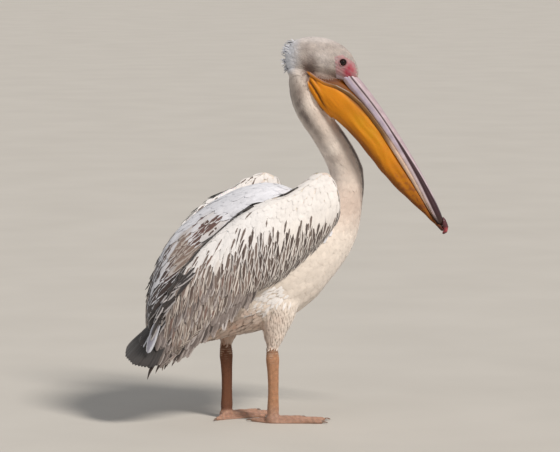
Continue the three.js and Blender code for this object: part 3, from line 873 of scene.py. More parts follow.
def pouch_tint(points, shares):
    """The pouch: streaked orange, golden in the middle and browner towards the tip, with painted shade under
    the upper bill, under the cheek, along its lower edge and in the throat's folds.
    """
    ahead, _, up = in_head(points)
    share, below = along_bill(points)
    in_pouch = share_of(shares, "pouch")
    streak = np.sin(below * 0.9 + mottle(points, 0.12, 13) * 3) * ramp(mottle(points, 0.05, 17), -0.2, 0.8)
    blotch = ramp(mottle(points, 0.016, 18), 0.0, 0.8) * ramp(share, 0.5, 0.75)
    # how far below the ridge the painted shade under the upper bill's edge reaches, at each place ahead
    jaw = np.interp(ahead, (44, 73, 84, 149, 191, 246), (69, 53, 47, 33, 28, 26))
    gold = bump(share, 0.3, 0.25) * bump(below, 52, 26) * (0.7 + 0.3 * mottle(points, 0.04, 36))
    # how far down towards the pouch's lowest line each point lies
    places = np.linspace(0, 1, 21)
    inside = in_pouch > 0.6
    deepest = [np.max(below[inside & (np.abs(share - place) < 0.04)], initial=30) for place in places]
    downwards = below / np.interp(share, places, deepest)
    # painted shade along the pouch's lower edge, plus the pouch's real brown towards its tip
    low = ramp(downwards, 0.68, 0.96) * ramp(share, 0.08, 0.3) + ramp(share, 0.48, 0.9) * 0.8
    pouch = lay(
        np.tile(ORANGE, (len(points), 1)) * (1 + 0.07 * mottle(points, 0.06, 12))[:, None],
        (DEEP_ORANGE, np.clip(0.3 * streak, 0, 1)),
        ("#8a4a30", 0.65 * blotch),
        # painted shade under the upper bill's edge
        (DEEP_ORANGE * 0.4, fade(below, jaw, jaw + 4) * 0.9),
        ("#c58d16", gold * 0.8),
        ("#74401a", np.clip(low, 0, 1) * 0.8),
    )
    # painted shadow on the pouch just under the cheek's feathers
    edge = bump(up, cheek_edge(ahead) - 3, 9) * fade(ahead, 84, 96)
    hem = bump(in_pouch, 0.55, 0.25) * fade(up, 30, 42) * fade(ahead, 30, 45)
    return lay(
        pouch * (1 - 0.15 * ramp(share, 0.35, 0.8))[:, None],
        ("#5a2c08", edge * 0.9),
        ("#4f2a24", ramp(share, 0.93, 0.97)),
        # painted shade in the creases between the throat folds
        (DEEP_ORANGE * 0.25, ramp(-throat_folds(points), 0.2, 0.7) * 0.9),
        ("#f0c9a0", hem * 0.7),
    )


def leg_tint(points, shares):
    """Tan shanks over pinker feet, with painted shade on the left one, a painted shadow just under the thigh
    feathers, and pale wrinkles at the hock.
    """
    height = points[:, 2]
    wrinkle = ramp(np.sin(height / MM * 2 * math.pi / 5.2 + mottle(points, 0.02, 15)), 0.5, 1.0)
    leg = blend(LEG_TAN, FOOT_PINK, fade(height, 0.012, 0.05))
    return lay(
        leg * (1 + 0.1 * mottle(points, 0.012, 14))[:, None],
        # painted shade on the left leg
        ("#633a27", 0.85 * share_of(shares, "shank_left")),
        # painted shadow just under the thigh feathers
        ("#5c3d2c", 0.6 * bump(height, 0.162, 0.009)),
        ("#d8bda6", wrinkle * bump(height, HOCK * MM, 0.022) * 0.6),
    )


def skin_tint(points, shares):
    """The skin's colour, which under feathers is the coat's own, and how scaly the skin is."""
    tint = plumage_tint(points) * 0.95
    for wing in WINGS:
        along, down = wing.place(points)
        line = wing_line(along)
        dark = ramp(down, line - 0.05, line + 0.15) * share_of(shares, wing.name)
        tint = blend(tint, DARK_BROWN, dark * 0.8)
    legs = ramp(share_of(shares, "shank_right", "shank_left", "foot_right", "foot_left"), 0.4, 0.6)
    tint = lay(
        tint,
        (BLACK_BROWN, share_of(shares, "tail")),
        # painted shade in the crease along each wing's upper edge
        ("#3b2f29", in_crease(points, shares)),
        (face_tint(points), bare_face(points)),
        (pouch_tint(points, shares), ramp(share_of(shares, "pouch"), 0.4, 0.6) * (1 - on_cheek(points))),
        (leg_tint(points, shares), legs),
    )
    return tint, legs


def wing_line(along):
    """How far down the wing the dark-centred coverts start, from its wrist to its tip."""
    places = (0, 0.12, 0.25, 0.35, 0.45, 0.55, 0.65, 1)
    return np.interp(along, places, (0.74, 0.6, 0.34, 0.2, 0.17, 0.08, -0.1, -0.1))


def tan_zone(along, down):
    """1 where the wing shows its long grey-tan feathers, low down and behind."""
    return ramp(along, 0.74 - 0.1 * down, 0.84 - 0.1 * down) * ramp(down, 0.12, 0.3)


def above_line(points):
    """How far each point is above the body's middle line, in metres, behind the neck."""
    behind = BODY_LINE[5:][::-1]
    return points[:, 2] - np.interp(points[:, 0], behind[:, 0], behind[:, 2])


# ------------------------------------------------------------------------- the lie of the coat


def lie_of_coat(points, normals, shares):
    """The way that feathers point at each place on the skin."""
    line = finely(BODY_LINE, 90)
    course = unit(np.gradient(line, axis=0))
    lie = np.zeros_like(points)
    for start in range(0, len(points), 5000):
        part = points[start : start + 5000]
        distance = np.linalg.norm(part[:, None] - line[None], axis=2)
        weight = np.exp(-((distance - distance.min(1, keepdims=True)) / 0.02))
        lie[start : start + 5000] = weight @ course
    lie = unit(lie)
    high = ramp(above_line(points), 0.01, 0.05) * share_of(shares, "trunk")
    lie = unit(blend(lie, np.array((-0.82, 0, -0.57)), high))
    from_bill = unit(points - (HEAD_ROOT + AHEAD * 125 * MM + UP * 20 * MM))
    lie = unit(blend(lie, from_bill, ramp(points[:, 2], 0.755, 0.79)))
    for wing in WINGS:
        along, down = wing.place(points)
        hanging = np.interp(along, (0, 0.2, 0.45, 0.7, 1), (13, 7, 5, 8, 15))
        turn = np.radians(hanging + 36 * fade(down, 0.02, 0.26) * fade(along, 0.45, 0.75))
        hang = np.stack([-np.sin(turn), np.zeros(len(points)), -np.cos(turn)], axis=1)
        lie = blend(lie, hang, ramp(share_of(shares, wing.name), 0.2, 0.8))
    lie = blend(lie, np.array((-0.62, 0, -0.78)), ramp(share_of(shares, "tail"), 0.2, 0.8))
    lie = blend(lie, np.array((-0.1, 0, -1.0)), ramp(share_of(shares, "thigh_right", "thigh_left"), 0.2, 0.8))
    return unit(lie - normals * dot(lie, normals)[:, None])


PLACES_TRIED = 3.2  # for each place where a feather has room


class Hide:
    """The skin as feathers find it: triangles to root in, and a way to follow its surface."""

    def __init__(self, skin, shares):
        self.points = points_of(skin)
        self.shares = shares
        normals = normals_of(skin)
        lie = unit(even_out(lie_of_coat(self.points, normals, shares), edges_of(skin), 4))
        data = skin.data
        data.calc_loop_triangles()
        self.corners = read(data.loop_triangles, "vertices", 3, np.int32)
        loops = read(data.loop_triangles, "loops", 3, np.int32)
        self.unwrap = read(data.uv_layers["OFBake"].data, "uv", 2)[loops]
        a, b, c = (self.points[self.corners[:, i]] for i in range(3))
        self.area = np.linalg.norm(np.cross(b - a, c - a), axis=1) / 2
        self.tree = BVHTree.FromPolygons(self.points.tolist(), self.corners.tolist())
        self.face_lie = unit(lie[self.corners].mean(1))
        self.face_normal = unit(normals[self.corners].mean(1))

    def at(self, places):
        """Roots where the skin is nearest to these places."""
        found = [self.tree.find_nearest(place) for place in places]
        points = np.array([hit[0] for hit in found])
        faces = np.array([hit[2] for hit in found])
        a, b, c = (self.points[self.corners[faces, i]] for i in range(3))
        ab, ac, ap = b - a, c - a, points - a
        spread = np.maximum(dot(ab, ab) * dot(ac, ac) - dot(ab, ac) ** 2, 1e-18)
        second = (dot(ac, ac) * dot(ap, ab) - dot(ab, ac) * dot(ap, ac)) / spread
        third = (dot(ab, ab) * dot(ap, ac) - dot(ab, ac) * dot(ap, ab)) / spread
        shares = np.stack([1 - second - third, second, third], axis=1)
        return Roots(self, points, faces, (self.unwrap[faces] * shares[:, :, None]).sum(1))

    def roots(self, density, spacing, rows_apart=1.0):
        """Places to root feathers, spacing apart across and rows_apart times that up and down."""
        face_density = density[self.corners].mean(1)
        weight = self.area * face_density
        wanted = int(weight.sum() / (spacing ** 2 * rows_apart) * PLACES_TRIED)
        pick = chance.choice(len(weight), wanted, p=weight / weight.sum())
        first, second = chance.random(wanted), chance.random(wanted)
        over = first + second > 1
        first[over], second[over] = 1 - first[over], 1 - second[over]
        shares = np.stack([1 - first - second, first, second], axis=1)
        points = (self.points[self.corners[pick]] * shares[:, :, None]).sum(1)
        gap = spacing * 0.8 / np.sqrt(np.maximum(face_density[pick], 0.05))
        squashed = points * (1, 1, 1 / rows_apart)
        tree = KDTree(wanted)
        for i, point in enumerate(squashed):
            tree.insert(point, i)
        tree.balance()
        free = np.ones(wanted, bool)
        kept = []
        for i in range(wanted):
            if free[i]:
                kept.append(i)
                for _, j, _ in tree.find_range(squashed[i], gap[i]):
                    free[j] = False
        uv = (self.unwrap[pick[kept]] * shares[kept][:, :, None]).sum(1)
        return Roots(self, points[kept], pick[kept], uv)


class Roots:
    """Where a group of feathers is rooted, and what the skin is like there."""

    def __init__(self, hide, points, faces, uv):
        self.hide = hide
        self.points = points
        self.uv = uv
        self.normals = hide.face_normal[faces]
        self.lie = hide.face_lie[faces]

    def __len__(self):
        return len(self.points)

    def keep(self, chosen):
        """Keeps only the chosen roots."""
        for name in ("points", "uv", "normals", "lie"):
            setattr(self, name, getattr(self, name)[chosen])

    def turn(self, spread):
        """Turns each feather a little at random about its own normal."""
        angle = (chance.normal(0, 1, len(self)) * np.radians(spread))[:, None]
        side = np.cross(self.normals, self.lie)
        self.lie = unit(self.lie * np.cos(angle) + side * np.sin(angle))


LONGEST_BRIDGE = 25 * MM  # a feather comes back to the skin rather than stand this far off it


def courses(roots, length, steps, stiff, overhang):
    """Follows the skin from each root. With overhang, a feather goes straight on past an edge."""
    tree, face_lie, face_normal = roots.hide.tree, roots.hide.face_lie, roots.hide.face_normal
    strides = np.diff(stations(steps))
    path = np.zeros((len(roots), steps + 1, 3))
    rise = np.zeros((len(roots), steps + 1, 3))
    path[:, 0], rise[:, 0] = roots.points, roots.normals
    for i in range(len(roots)):
        at, way, up = roots.points[i], roots.lie[i], roots.normals[i]
        for step in range(steps):
            pace = length[i] * strides[step]
            ahead = at + way * pace
            found, _, face, _ = tree.find_nearest(ahead)
            found = np.array(found)
            gap = found - ahead
            if overhang and gap @ way < -0.3 * pace and gap @ gap < LONGEST_BRIDGE ** 2:
                at = ahead
            else:
                at = found
                up = face_normal[face]
                way = way * stiff + face_lie[face] * (1 - stiff)
                way = way - up * (way @ up)
                way = way / math.sqrt(way @ way)
            path[i, step + 1], rise[i, step + 1] = at, up
    return path, rise


# ------------------------------------------------------------------------- feathers

PLAIN = -1.0  # the heart's breadth on a feather of one colour
PATCH = 0.003  # how far across each feather's patch is on the unwrap of the skin
BURIED = 0.6 * MM  # how deep a feather's root sits in the skin


def pointed(v):
    """A long feather's half width from root to tip: widest past its middle, then drawn to a point."""
    return (0.35 + 0.65 * ramp(v, 0, 0.4)) * fade(v, 0.45, 1.08) ** 0.8


def rounded(v):
    """A broad feather's half width: full almost to a round tip."""
    return (0.4 + 0.6 * ramp(v, 0, 0.3)) * np.sqrt(np.clip(1 - np.clip((v - 0.62) / 0.4, 0, 1) ** 2, 0, 1))


def blunt(v):
    """A tail quill's half width: even along its length, with a broad round tip."""
    return (0.4 + 0.6 * ramp(v, 0, 0.3)) * np.sqrt(1 - np.clip((v - 0.82) / 0.19, 0, 1) ** 2)


THIN_SECTION = ((-1, 0), (0, 1), (1, 0))  # across the vane, and height above its edges
FULL_SECTION = ((-1, 0), (-0.55, 0.75), (0, 1), (0.55, 0.75), (1, 0))


def stations(rows):
    """Where a feather's rows lie along it, closer together towards the tip."""
    return 1 - (1 - np.linspace(0, 1, rows + 1)) ** 1.5


def feathers(name, roots, outline, rows, length, width, lift, rim, heart=None, breadth=PLAIN, stiff=0.4,
             crown=0.12, tilt=0.0, section=THIN_SECTION, slot="plumage", path=None, overhang=True):
    """Solid vanes as one piece. lift is how high each tip stands off the skin, tilt how far it leans over."""
    count = len(roots)
    length, width, lift, tilt, breadth = (
        np.broadcast_to(x, count).astype(float) for x in (length, width, lift, tilt, breadth)
    )
    path, rise = path or courses(roots, length, rows, stiff, overhang)
    v = stations(rows)
    way = unit(np.gradient(path, axis=1))
    side = unit(np.cross(rise, way))
    up = unit(np.cross(way, side))
    lean = np.radians(tilt)[:, None, None]
    side, up = side * np.cos(lean) + up * np.sin(lean), up * np.cos(lean) - side * np.sin(lean)
    height = lift[:, None] * (v ** 0.8)[None] - BURIED * fade(v, 0, 0.3)[None]
    middle_line = path + rise * height[:, :, None]
    half = width[:, None] / 2 * outline(v[:-1])[None]
    ring = len(section)
    body = np.zeros((count, rows, ring, 3))
    for i, (across, high) in enumerate(section):
        body[:, :, i] = (middle_line[:, :-1] + side[:, :-1] * (half * across)[:, :, None]
                         + up[:, :-1] * (half * crown * 2 * (high - 0.3))[:, :, None])
    # each feather has rows of points round its section and one point at the tip
    points = np.concatenate([body.reshape(count, -1, 3), middle_line[:, -1:]], axis=1)
    per = rows * ring + 1
    last = (rows - 1) * ring
    sides = [(i, (i + 1) % ring) for i in range(ring)]
    starts = range(0, last, ring)
    quads = [(row + a, row + a + ring, row + b + ring, row + b) for row in starts for a, b in sides]
    tris = [(last + a, per - 1, last + b) for a, b in sides] + [(0, i, i + 1) for i in range(1, ring - 1)]
    base = (np.arange(count) * per)[:, None, None]
    quads = (np.array(quads)[None] + base).reshape(-1, 4)
    tris = (np.array(tris)[None] + base).reshape(-1, 3)
    vane = np.zeros((per, 2))
    vane[:-1, 0] = np.tile([0.5 + across / 2 for across, _ in section], rows)
    vane[:-1, 1] = np.repeat(v[:-1], ring)
    vane[-1] = (0.5, 1)
    mesh = bpy.data.meshes.new(name)
    mesh.vertices.add(count * per)
    mesh.vertices.foreach_set("co", points.astype(np.float32).ravel())
    corner = np.concatenate([quads.ravel(), tris.ravel()]).astype(np.int32)
    mesh.loops.add(len(corner))
    mesh.loops.foreach_set("vertex_index", corner)
    starts = np.concatenate([np.arange(len(quads)) * 4, len(quads) * 4 + np.arange(len(tris)) * 3])
    mesh.polygons.add(len(starts))
    mesh.polygons.foreach_set("loop_start", starts.astype(np.int32))
    mesh.update(calc_edges=True)
    which, spot = corner // per, corner % per
    for layer, uv in (("Vane", vane[spot]), ("OFBake", roots.uv[which] + (vane[spot] - 0.5) * PATCH)):
        mesh.uv_layers.new(name=layer).data.foreach_set("uv", uv.astype(np.float32).ravel())
    piece = bpy.data.objects.new(name, mesh)
    bpy.context.scene.collection.objects.link(piece)
    for layer, colour in (("rim_tint", rim), ("heart_tint", rim if heart is None else heart)):
        colour = linear(colour) if isinstance(colour, str) else colour
        paint(piece, layer, np.repeat(np.broadcast_to(colour, (count, 3)), per, axis=0))
    grade(piece, "heart_breadth", np.repeat(breadth, per))
    mesh.materials.append(FEATHER)
    only(piece)
    bpy.ops.object.shade_smooth_by_angle(angle=math.radians(70))
    settle(piece, slot)


def vary(values, share, shape=None):
    """The values, or one value in that shape, each made larger or smaller at random by up to that share."""
    values = np.asarray(values, float) if shape is None else np.full(shape, values, float)
    return values * chance.uniform(1 - share, 1 + share, values.shape)


def feathers_on(hide, *names):
    """The share of each skin point that these nodes hold, clear of bare skin."""
    return ramp(share_of(hide.shares, *names), 0.3, 0.6) * (1 - bare_face(hide.points))


def plain_tints(points, spread=0.04):
    """The plumage's ground colour for each feather, no two quite alike."""
    return plumage_tint(points) * vary(1, spread, (len(points), 1))


def coat_head(hide):
    """Velvety down, smallest on the face, lengthening to the ragged crest and loose feathers of the nape."""
    cheek = on_cheek(hide.points) * ramp(share_of(hide.shares, "pouch"), 0.3, 0.6)
    roots = hide.roots(np.maximum(feathers_on(hide, "head"), cheek), spacing=2.4 * MM)
    ahead, _, up = in_head(roots.points)
    crest = ramp(-ahead, -6, 26) * ramp(up, 38, 64)
    nape = ramp(-ahead, 12, 30) * (1 - crest) * fade(-up, -6, 10)
    cheek = fade(up, 22, 34) * ramp(ahead, 0, 20)
    roots.turn(spread=9 + 14 * crest)
    raised = crest * chance.uniform(0.05, 0.5, len(roots)) * ramp(up, 50, 66)
    hanging = ramp(-ahead, 0, 20) * fade(up, 48, 64)
    roots.lie = unit(roots.lie + roots.normals * raised[:, None] - np.array((0, 0, 1.5)) * hanging[:, None])
    feathers(
        "coat_head", roots, pointed, rows=3,
        length=vary((6.5 + 3 * ramp(-ahead, -90, -20) + 6.5 * crest + 3 * nape - 3.2 * cheek) * MM, 0.25),
        width=vary((3.7 - 0.3 * crest + 1.2 * nape - 1.2 * cheek) * MM, 0.2),
        lift=vary((0.7 + 1.3 * crest + 0.6 * nape) * MM, 0.3),
        rim=blend(plain_tints(roots.points, 0.08), "#dfe0e6", 0.6 * crest), stiff=0.6,
    )


def coat_neck(hide):
    """Short close feathers down the neck."""
    clear = fade(share_of(hide.shares, "pouch"), 0.05, 0.25)
    roots = hide.roots(feathers_on(hide, "neck_upper", "neck_lower") * clear, spacing=3.6 * MM)
    roots.turn(spread=6)
    low = fade(roots.points[:, 2], 0.56, 0.68)
    feathers(
        "coat_neck", roots, pointed, rows=3,
        length=vary((12 + 7 * low) * MM, 0.15), width=vary((6.2 + 2.8 * low) * MM, 0.15),
        lift=vary((0.9 + 0.6 * low) * MM, 0.2), rim=plain_tints(roots.points, 0.025),
        crown=0.07, overhang=False,
    )


def coat_body(hide):
    """Broad soft feathers over the breast, belly and flanks, in closely lapped courses."""
    clear = (1 - on_back(hide.points)) * (1 - in_crease(hide.points, hide.shares))
    roots = hide.roots(feathers_on(hide, "trunk") * clear, spacing=6.4 * MM)
    back = -roots.points[:, 0]
    rear = ramp(back, 0, 0.16)
    loose = ramp(back, 0.0, 0.06) * fade(roots.points[:, 2], 0.26, 0.31)
    roots.turn(spread=6 + 16 * loose)
    feathers(
        "coat_body", roots, rounded, rows=4,
        length=vary((28 + 12 * rear - 8 * loose) * MM, 0.15),
        width=vary((13 + 4 * rear - 5 * loose) * MM, 0.15),
        lift=vary((1.3 + 1.0 * rear + 1.8 * loose) * MM, 0.3),
        rim=plain_tints(roots.points, 0.02) * vary(1, 0.2 * loose, len(roots))[:, None],
        crown=0.045, overhang=False,
    )


def coat_flank(hide):
    """Loose white down that fluffs out where the wing lies over the flank, ahead of the thigh's top."""
    points = hide.points
    along, down = WINGS[0].place(points)
    under = span(down, 1.0, 1.06, 1.3, 1.5) * ramp(along, 0.42, 0.5) * fade(along, 0.6, 0.68)
    beside = ramp(np.abs(points[:, 1] - BODY_LINE[8, 1]), 0.03, 0.05) * ramp(points[:, 2], 0.25, 0.27)
    part = feathers_on(hide, "trunk") * under * beside
    roots = hide.roots(np.where(part > 0.3, part, 0), spacing=4.5 * MM)
    roots.turn(spread=10)
    feathers(
        "down_flank", roots, pointed, rows=4,
        length=vary(25 * MM, 0.2, len(roots)), width=vary(9.5 * MM, 0.2), lift=vary(3 * MM, 0.2, len(roots)),
        rim=blend(plumage_tint(roots.points), "#f7f3f1", 0.8), crown=0.08, overhang=False,
    )


def coat_thighs(hide):
    """Close soft feathers round the thighs, shorter towards the hock."""
    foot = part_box("thigh_right")[0].z
    clear = ramp(hide.points[:, 2], foot + 5 * MM, foot + 10 * MM)
    roots = hide.roots(feathers_on(hide, "thigh_right", "thigh_left") * clear, spacing=4.4 * MM)
    roots.turn(spread=9)
    low = fade(roots.points[:, 2], 0.165, 0.23)
    feathers(
        "coat_thighs", roots, pointed, rows=3,
        length=vary((20 - 9 * low) * MM, 0.2), width=vary((6 - 2.4 * low) * MM, 0.2),
        lift=vary((2.6 - 1.2 * low) * MM, 0.3), rim=plain_tints(roots.points), overhang=False,
    )


def on_back(points):
    """1 on the upper side of the body, behind the neck."""
    return ramp(above_line(points), 0.0, 0.03) * fade(points[:, 0], 0.09, 0.12)


def back_marks(points):
    """For feathers of the back: rim and heart colours, and the heart's breadth."""
    count = len(points)
    back = -points[:, 0] / MM
    off_middle = np.abs(points[:, 1] - BODY_LINE[9, 1]) / MM
    patch = bump(np.hypot((back - 156) * 0.8, (off_middle - 52) * 0.8), 0, 30)
    brown = span(back, 178, 198, 226, 256) * ramp(off_middle, 12, 30)
    dark = ramp(back, 228, 262)
    rim = lay(COOL_WHITE, (PALE_TAN, patch * 0.7), ("#b5a598", brown * 0.85))
    rim = rim * (1 - 0.16 * ramp(-points[:, 0], 0.0, 0.1))[:, None]
    heart = lay(
        "#66463f",
        (DARK_BROWN, chance.random(count) * 0.9),
        ("#857368", brown * chance.uniform(0.6, 1, count)),
        (BLACK_BROWN, dark * chance.uniform(0.5, 1, count)),
    )
    marked = chance.random(count) < 0.94 * np.maximum(np.maximum(1.5 * patch, brown), dark)
    breadth = np.where(marked, chance.uniform(0.5, 0.75, count) + 0.2 * np.maximum(patch, dark), PLAIN)
    return rim * vary(1, 0.05, (count, 1)), heart, breadth


def coat_back(hide):
    """Long scapulars that lie down the back between the wings, white at first and dark behind."""
    clear = on_back(hide.points) * (1 - in_crease(hide.points, hide.shares))
    roots = hide.roots(feathers_on(hide, "trunk") * clear, spacing=8.5 * MM)
    roots.turn(spread=5)
    rim, heart, breadth = back_marks(roots.points)
    rear = ramp(-roots.points[:, 0], 0.02, 0.2)
    feathers(
        "coat_back", roots, rounded, rows=5,
        length=vary((42 + 24 * rear) * MM, 0.2), width=vary((14 - 2 * rear) * MM, 0.15),
        lift=vary((2.4 + 1.6 * rear) * MM, 0.3), rim=rim, heart=heart, breadth=breadth,
        stiff=0.6, crown=0.1,
    )


def coat_wing(hide, wing):
    """The folded wing's coverts: plain white near the upper edge, then long, narrow and dark-centred."""
    along, down = wing.place(hide.points)
    line = wing_line(along)
    covered = feathers_on(hide, wing.name) * (1 - in_crease(hide.points, hide.shares))
    front = fade(along, 0.09, 0.15)
    white = covered * np.maximum(fade(down, line + 0.02, line + 0.14), front)
    dark = covered * ramp(down, line - 0.06, line) * fade(along, 0.84, 0.9) * ramp(along, 0.07, 0.12)
    white_roots = hide.roots(white, spacing=6.8 * MM)
    dark_roots = hide.roots(dark, spacing=8.6 * MM, rows_apart=1.8)
    white_coverts(wing, white_roots)
    dark_coverts(wing, dark_roots)


def white_coverts(wing, roots):
    """Short white feathers, a few of them with a brown speck."""
    count = len(roots)
    along, down = wing.place(roots.points)
    roots.turn(spread=6)
    spots = 0.05 * ramp(along, 0.2, 0.4)
    if wing.side > 0:
        spots = spots + 0.4 * ramp(along, 0.08, 0.14) * fade(down, 0.05, 0.1)
    speck = chance.random(count) < spots
    streaks = 1 + 0.035 * mottle(roots.points * (1, 1, 0.3), 0.03, 37)
    feathers(
        f"coverts_white_{wing.name[5:]}", roots, rounded, rows=4,
        length=vary(27 * MM, 0.2, count), width=vary(11 * MM, 0.15), lift=vary(1.35 * MM, 0.25, count),
        rim=blend(plain_tints(roots.points, 0.05), WING_WHITE, 0.8) * streaks[:, None],
        heart="#6b5a50", breadth=np.where(speck, 0.4, PLAIN), crown=0.06, slot="wing_plumage",
    )


def dark_coverts(wing, roots):
    """Long narrow feathers, most with a dark heart, browner and longer towards the tip of the wing."""
    roots.keep(wing.reach(roots.points, roots.lie) > 24 * MM)
    roots.turn(spread=5)
    count = len(roots)
    along, down = wing.place(roots.points)
    line = wing_line(along)
    depth = ramp(down, line - 0.03, line + 0.2)
    tan = tan_zone(along, down)
    rear = ramp(along, 0.3, 0.65)
    # no feather goes far past the wing's lower edge
    length = vary((54 + 8 * tan) * MM, 0.2)
    past = np.abs(chance.normal(3, 5, count)) * MM
    length = np.minimum(length, np.maximum(wing.reach(roots.points, roots.lie) + past, 12 * MM))
    rim = blend(plain_tints(roots.points, 0.03), WING_WHITE, 0.7)
    low = np.clip(0.2 * depth + 0.7 * rear * depth + 0.6 * tan, 0, 1)
    rim = blend(rim, blend(PALE_TAN, "#8c7d74", chance.random(count) ** 1.5), low)
    heart = lay(
        "#7b6b62",
        ("#3e312b", chance.random(count) ** 0.6),
        (RUSSET, chance.random(count) ** 2 * 0.6 * rear),
        (TAN, np.maximum(tan, 0.6 * rear) * chance.random(count)),
    )
    marked = chance.random(count) < 0.52 + 0.44 * depth
    breadth = np.where(marked, chance.uniform(0.36, 0.62, count) * (0.88 + 0.3 * depth), PLAIN)
    feathers(
        f"coverts_dark_{wing.name[5:]}", roots, pointed, rows=4,
        length=length, width=vary((12.5 - 1.5 * rear) * MM, 0.2),
        lift=vary((2.6 + 1.4 * depth + 1.2 * tan) * MM, 0.2), rim=rim, heart=heart, breadth=breadth,
        stiff=0.7, slot="wing_plumage",
    )


QUILL_ROWS = 7
QUILL_TILT = 9  # how far each quill leans over the next one, in degrees


def quills_on_wing(hide, wing, name, outline, along, share, length, turn, width, lift, rim, heart, breadth,
                   buried=6 * MM):
    """A row of long quills. along and share place the tips, and turn is how far each leans back."""
    count = len(along)
    turn = np.radians(np.broadcast_to(turn, count))
    lie = np.stack([-np.sin(turn), np.zeros(count), -np.cos(turn)], axis=1)
    tips = np.array([wing.point(a, s) for a, s in zip(along, share)])
    v = stations(QUILL_ROWS)
    back = (1 - v)[None, :, None] * np.broadcast_to(length, count)[:, None, None]
    paths, outwards = wing.rest(tips[:, None] - lie[:, None] * back, buried + (2 * MM - buried) * v)
    feathers(
        f"{name}_{wing.name[5:]}", hide.at(paths[:, 0]), outline, QUILL_ROWS,
        length=length, width=width, lift=lift, rim=rim, heart=heart, breadth=breadth,
        crown=0.1, tilt=-wing.side * QUILL_TILT, section=FULL_SECTION, slot="wing_plumage",
        path=(paths, outwards),
    )


def quill_rows(hide, wing):
    """Black primaries at the tip, rows of grey-tan secondaries, and dark tertials on the rear edge."""
    tips = np.array([(0.895, 0.93), (0.92, 1.0), (0.945, 0.94), (0.975, 0.88), (0.99, 0.6), (1.01, 0.9)])
    quills_on_wing(
        hide, wing, "primaries", pointed, tips[:, 0], tips[:, 1],
        length=vary(110 * MM, 0.04, len(tips)), turn=19, width=vary(17 * MM, 0.15, len(tips)),
        lift=1 * MM, rim="#64564d", heart="#2b2320", breadth=0.85,
    )
    # each row of secondaries: first and last along the wing, how far down, how many, and their length
    secondaries = ((0.58, 0.94, 0.99, 30, 74), (0.60, 0.94, 0.82, 27, 70), (0.62, 0.93, 0.64, 24, 66),
                   (0.64, 0.92, 0.46, 20, 62))
    for row, (first, last, high, count, reach) in enumerate(secondaries):
        along = np.linspace(first, last, count) + chance.normal(0, 0.005, count)
        share = high - 0.2 * ramp(along, 0.86, 0.97) + chance.normal(0, 0.03, count)
        turn = np.interp(along, (0.55, 0.95), (6, 15)) + chance.normal(0, 2.5, count)
        rim = blend("#958882", "#c3bab6", chance.random(count) ** 2)
        heart = blend("#897c77", "#3d322d", chance.random(count) ** 2)
        quills_on_wing(
            hide, wing, f"secondaries_{row + 1}", rounded, along, share,
            length=vary(reach * MM, 0.12, count), turn=turn, width=vary(13 * MM, 0.2, count),
            lift=(0.8 + 0.5 * row) * MM, rim=rim, heart=heart, breadth=chance.uniform(0.4, 0.75, count),
        )
    right = wing.side < 0
    count = 20 if right else 10
    along = np.linspace(0.7, 0.91 if right else 0.8, count) + chance.normal(0, 0.006, count)
    share = chance.uniform(0.04, 0.16, count)
    turn = np.interp(along, (0.7, 0.8, 0.93), (42, 34, 22)) + chance.normal(0, 3, count)
    light = chance.random(count) < 0.5
    quills_on_wing(
        hide, wing, "tertials", rounded, along, share,
        length=vary(62 * MM, 0.25, count), turn=turn, width=vary(13 * MM, 0.15, count),
        lift=vary(3.5 * MM, 0.3, count), rim=np.where(light[:, None], linear("#b8b1af"), linear("#463c37")),
        heart=BLACK_BROWN, breadth=np.where(light, chance.uniform(0.3, 0.7, count), 0.85), buried=5 * MM,
    )
    if right:
        quills_on_wing(
            hide, wing, "tertial_grey", rounded, [0.935], [0.14], length=84 * MM, turn=14, width=33 * MM,
            lift=7.5 * MM, rim=COOL_WHITE, heart="#a9a5b2", breadth=0.72, buried=3 * MM,
        )


def crease_row(hide, wing):
    """Dark feathers along the wing's upper edge where the scapulars lie over it, broader behind. Their
    darkness is painted shade for the crease, and a few behind have real pale edges.
    """
    if wing.side < 0:
        along = np.linspace(0.12, 0.86, 66)
    else:
        groups = (0.22, 0.26, 4), (0.33, 0.4, 5), (0.5, 0.86, 10)
        along = np.concatenate([np.linspace(*group) for group in groups])
    count = len(along)
    along = along + chance.normal(0, 0.004, count)
    # on the ridge of the wing, dropped from above onto the skin
    places = np.array([wing.point(a, 0.01) for a in along])
    out = np.interp(along, (0.4, 0.6), (6, -4)) * MM
    places[:, 1] = np.interp(along, wing.stops, wing.ridge) + wing.side * out
    for place in places:
        place[2] += CLEAR_ABOVE
        hit = hide.tree.ray_cast(Vector(place), Vector((0, 0, -1)))[0]
        place[2] = hit.z if hit else place[2] - CLEAR_ABOVE
    roots = hide.at(places)
    lie = unit(wing.point(0.6, 0) - wing.point(0.2, 0)) * (1, 0, 1)
    roots.lie = unit(lie - roots.normals * dot(lie, roots.normals)[:, None])
    stops = (0.12, 0.2, 0.3, 0.36, 0.44, 0.52, 0.7)
    width = np.interp(along, stops, (6, 11, 11, 5, 5, 11, 14)) * MM
    lift = np.interp(along, stops, (5, 8.5, 8, 4.5, 4.5, 6, 7.5)) * MM
    edged = (along > 0.54) & (np.arange(count) % 5 < 2)
    feathers(
        f"edge_{wing.name[5:]}", roots, pointed, rows=5,
        length=vary(42 * MM, 0.15, count), width=width, lift=vary(lift, 0.2),
        # dark brown rims as painted shade along the crease; the pale-edged ones carry real markings
        rim=np.where(edged[:, None], linear("#aea6a3"), linear("#4a3d36")),
        heart="#241b17", breadth=np.where(edged, 0.74, 0.88), stiff=0.5, slot="wing_plumage",
    )


def surface_points(node, count):
    """Points scattered evenly over a CAD node."""
    data = nodes[node].data
    data.calc_loop_triangles()
    corners = read(data.loop_triangles, "vertices", 3, np.int32)
    a, b, c = (points_of(nodes[node])[corners[:, i]] for i in range(3))
    area = np.linalg.norm(np.cross(b - a, c - a), axis=1)
    pick = chance.choice(len(area), count, p=area / area.sum())
    first, second = np.sort(chance.random((2, count, 1)), axis=0)
    return a[pick] * first + b[pick] * (second - first) + c[pick] * (1 - second)


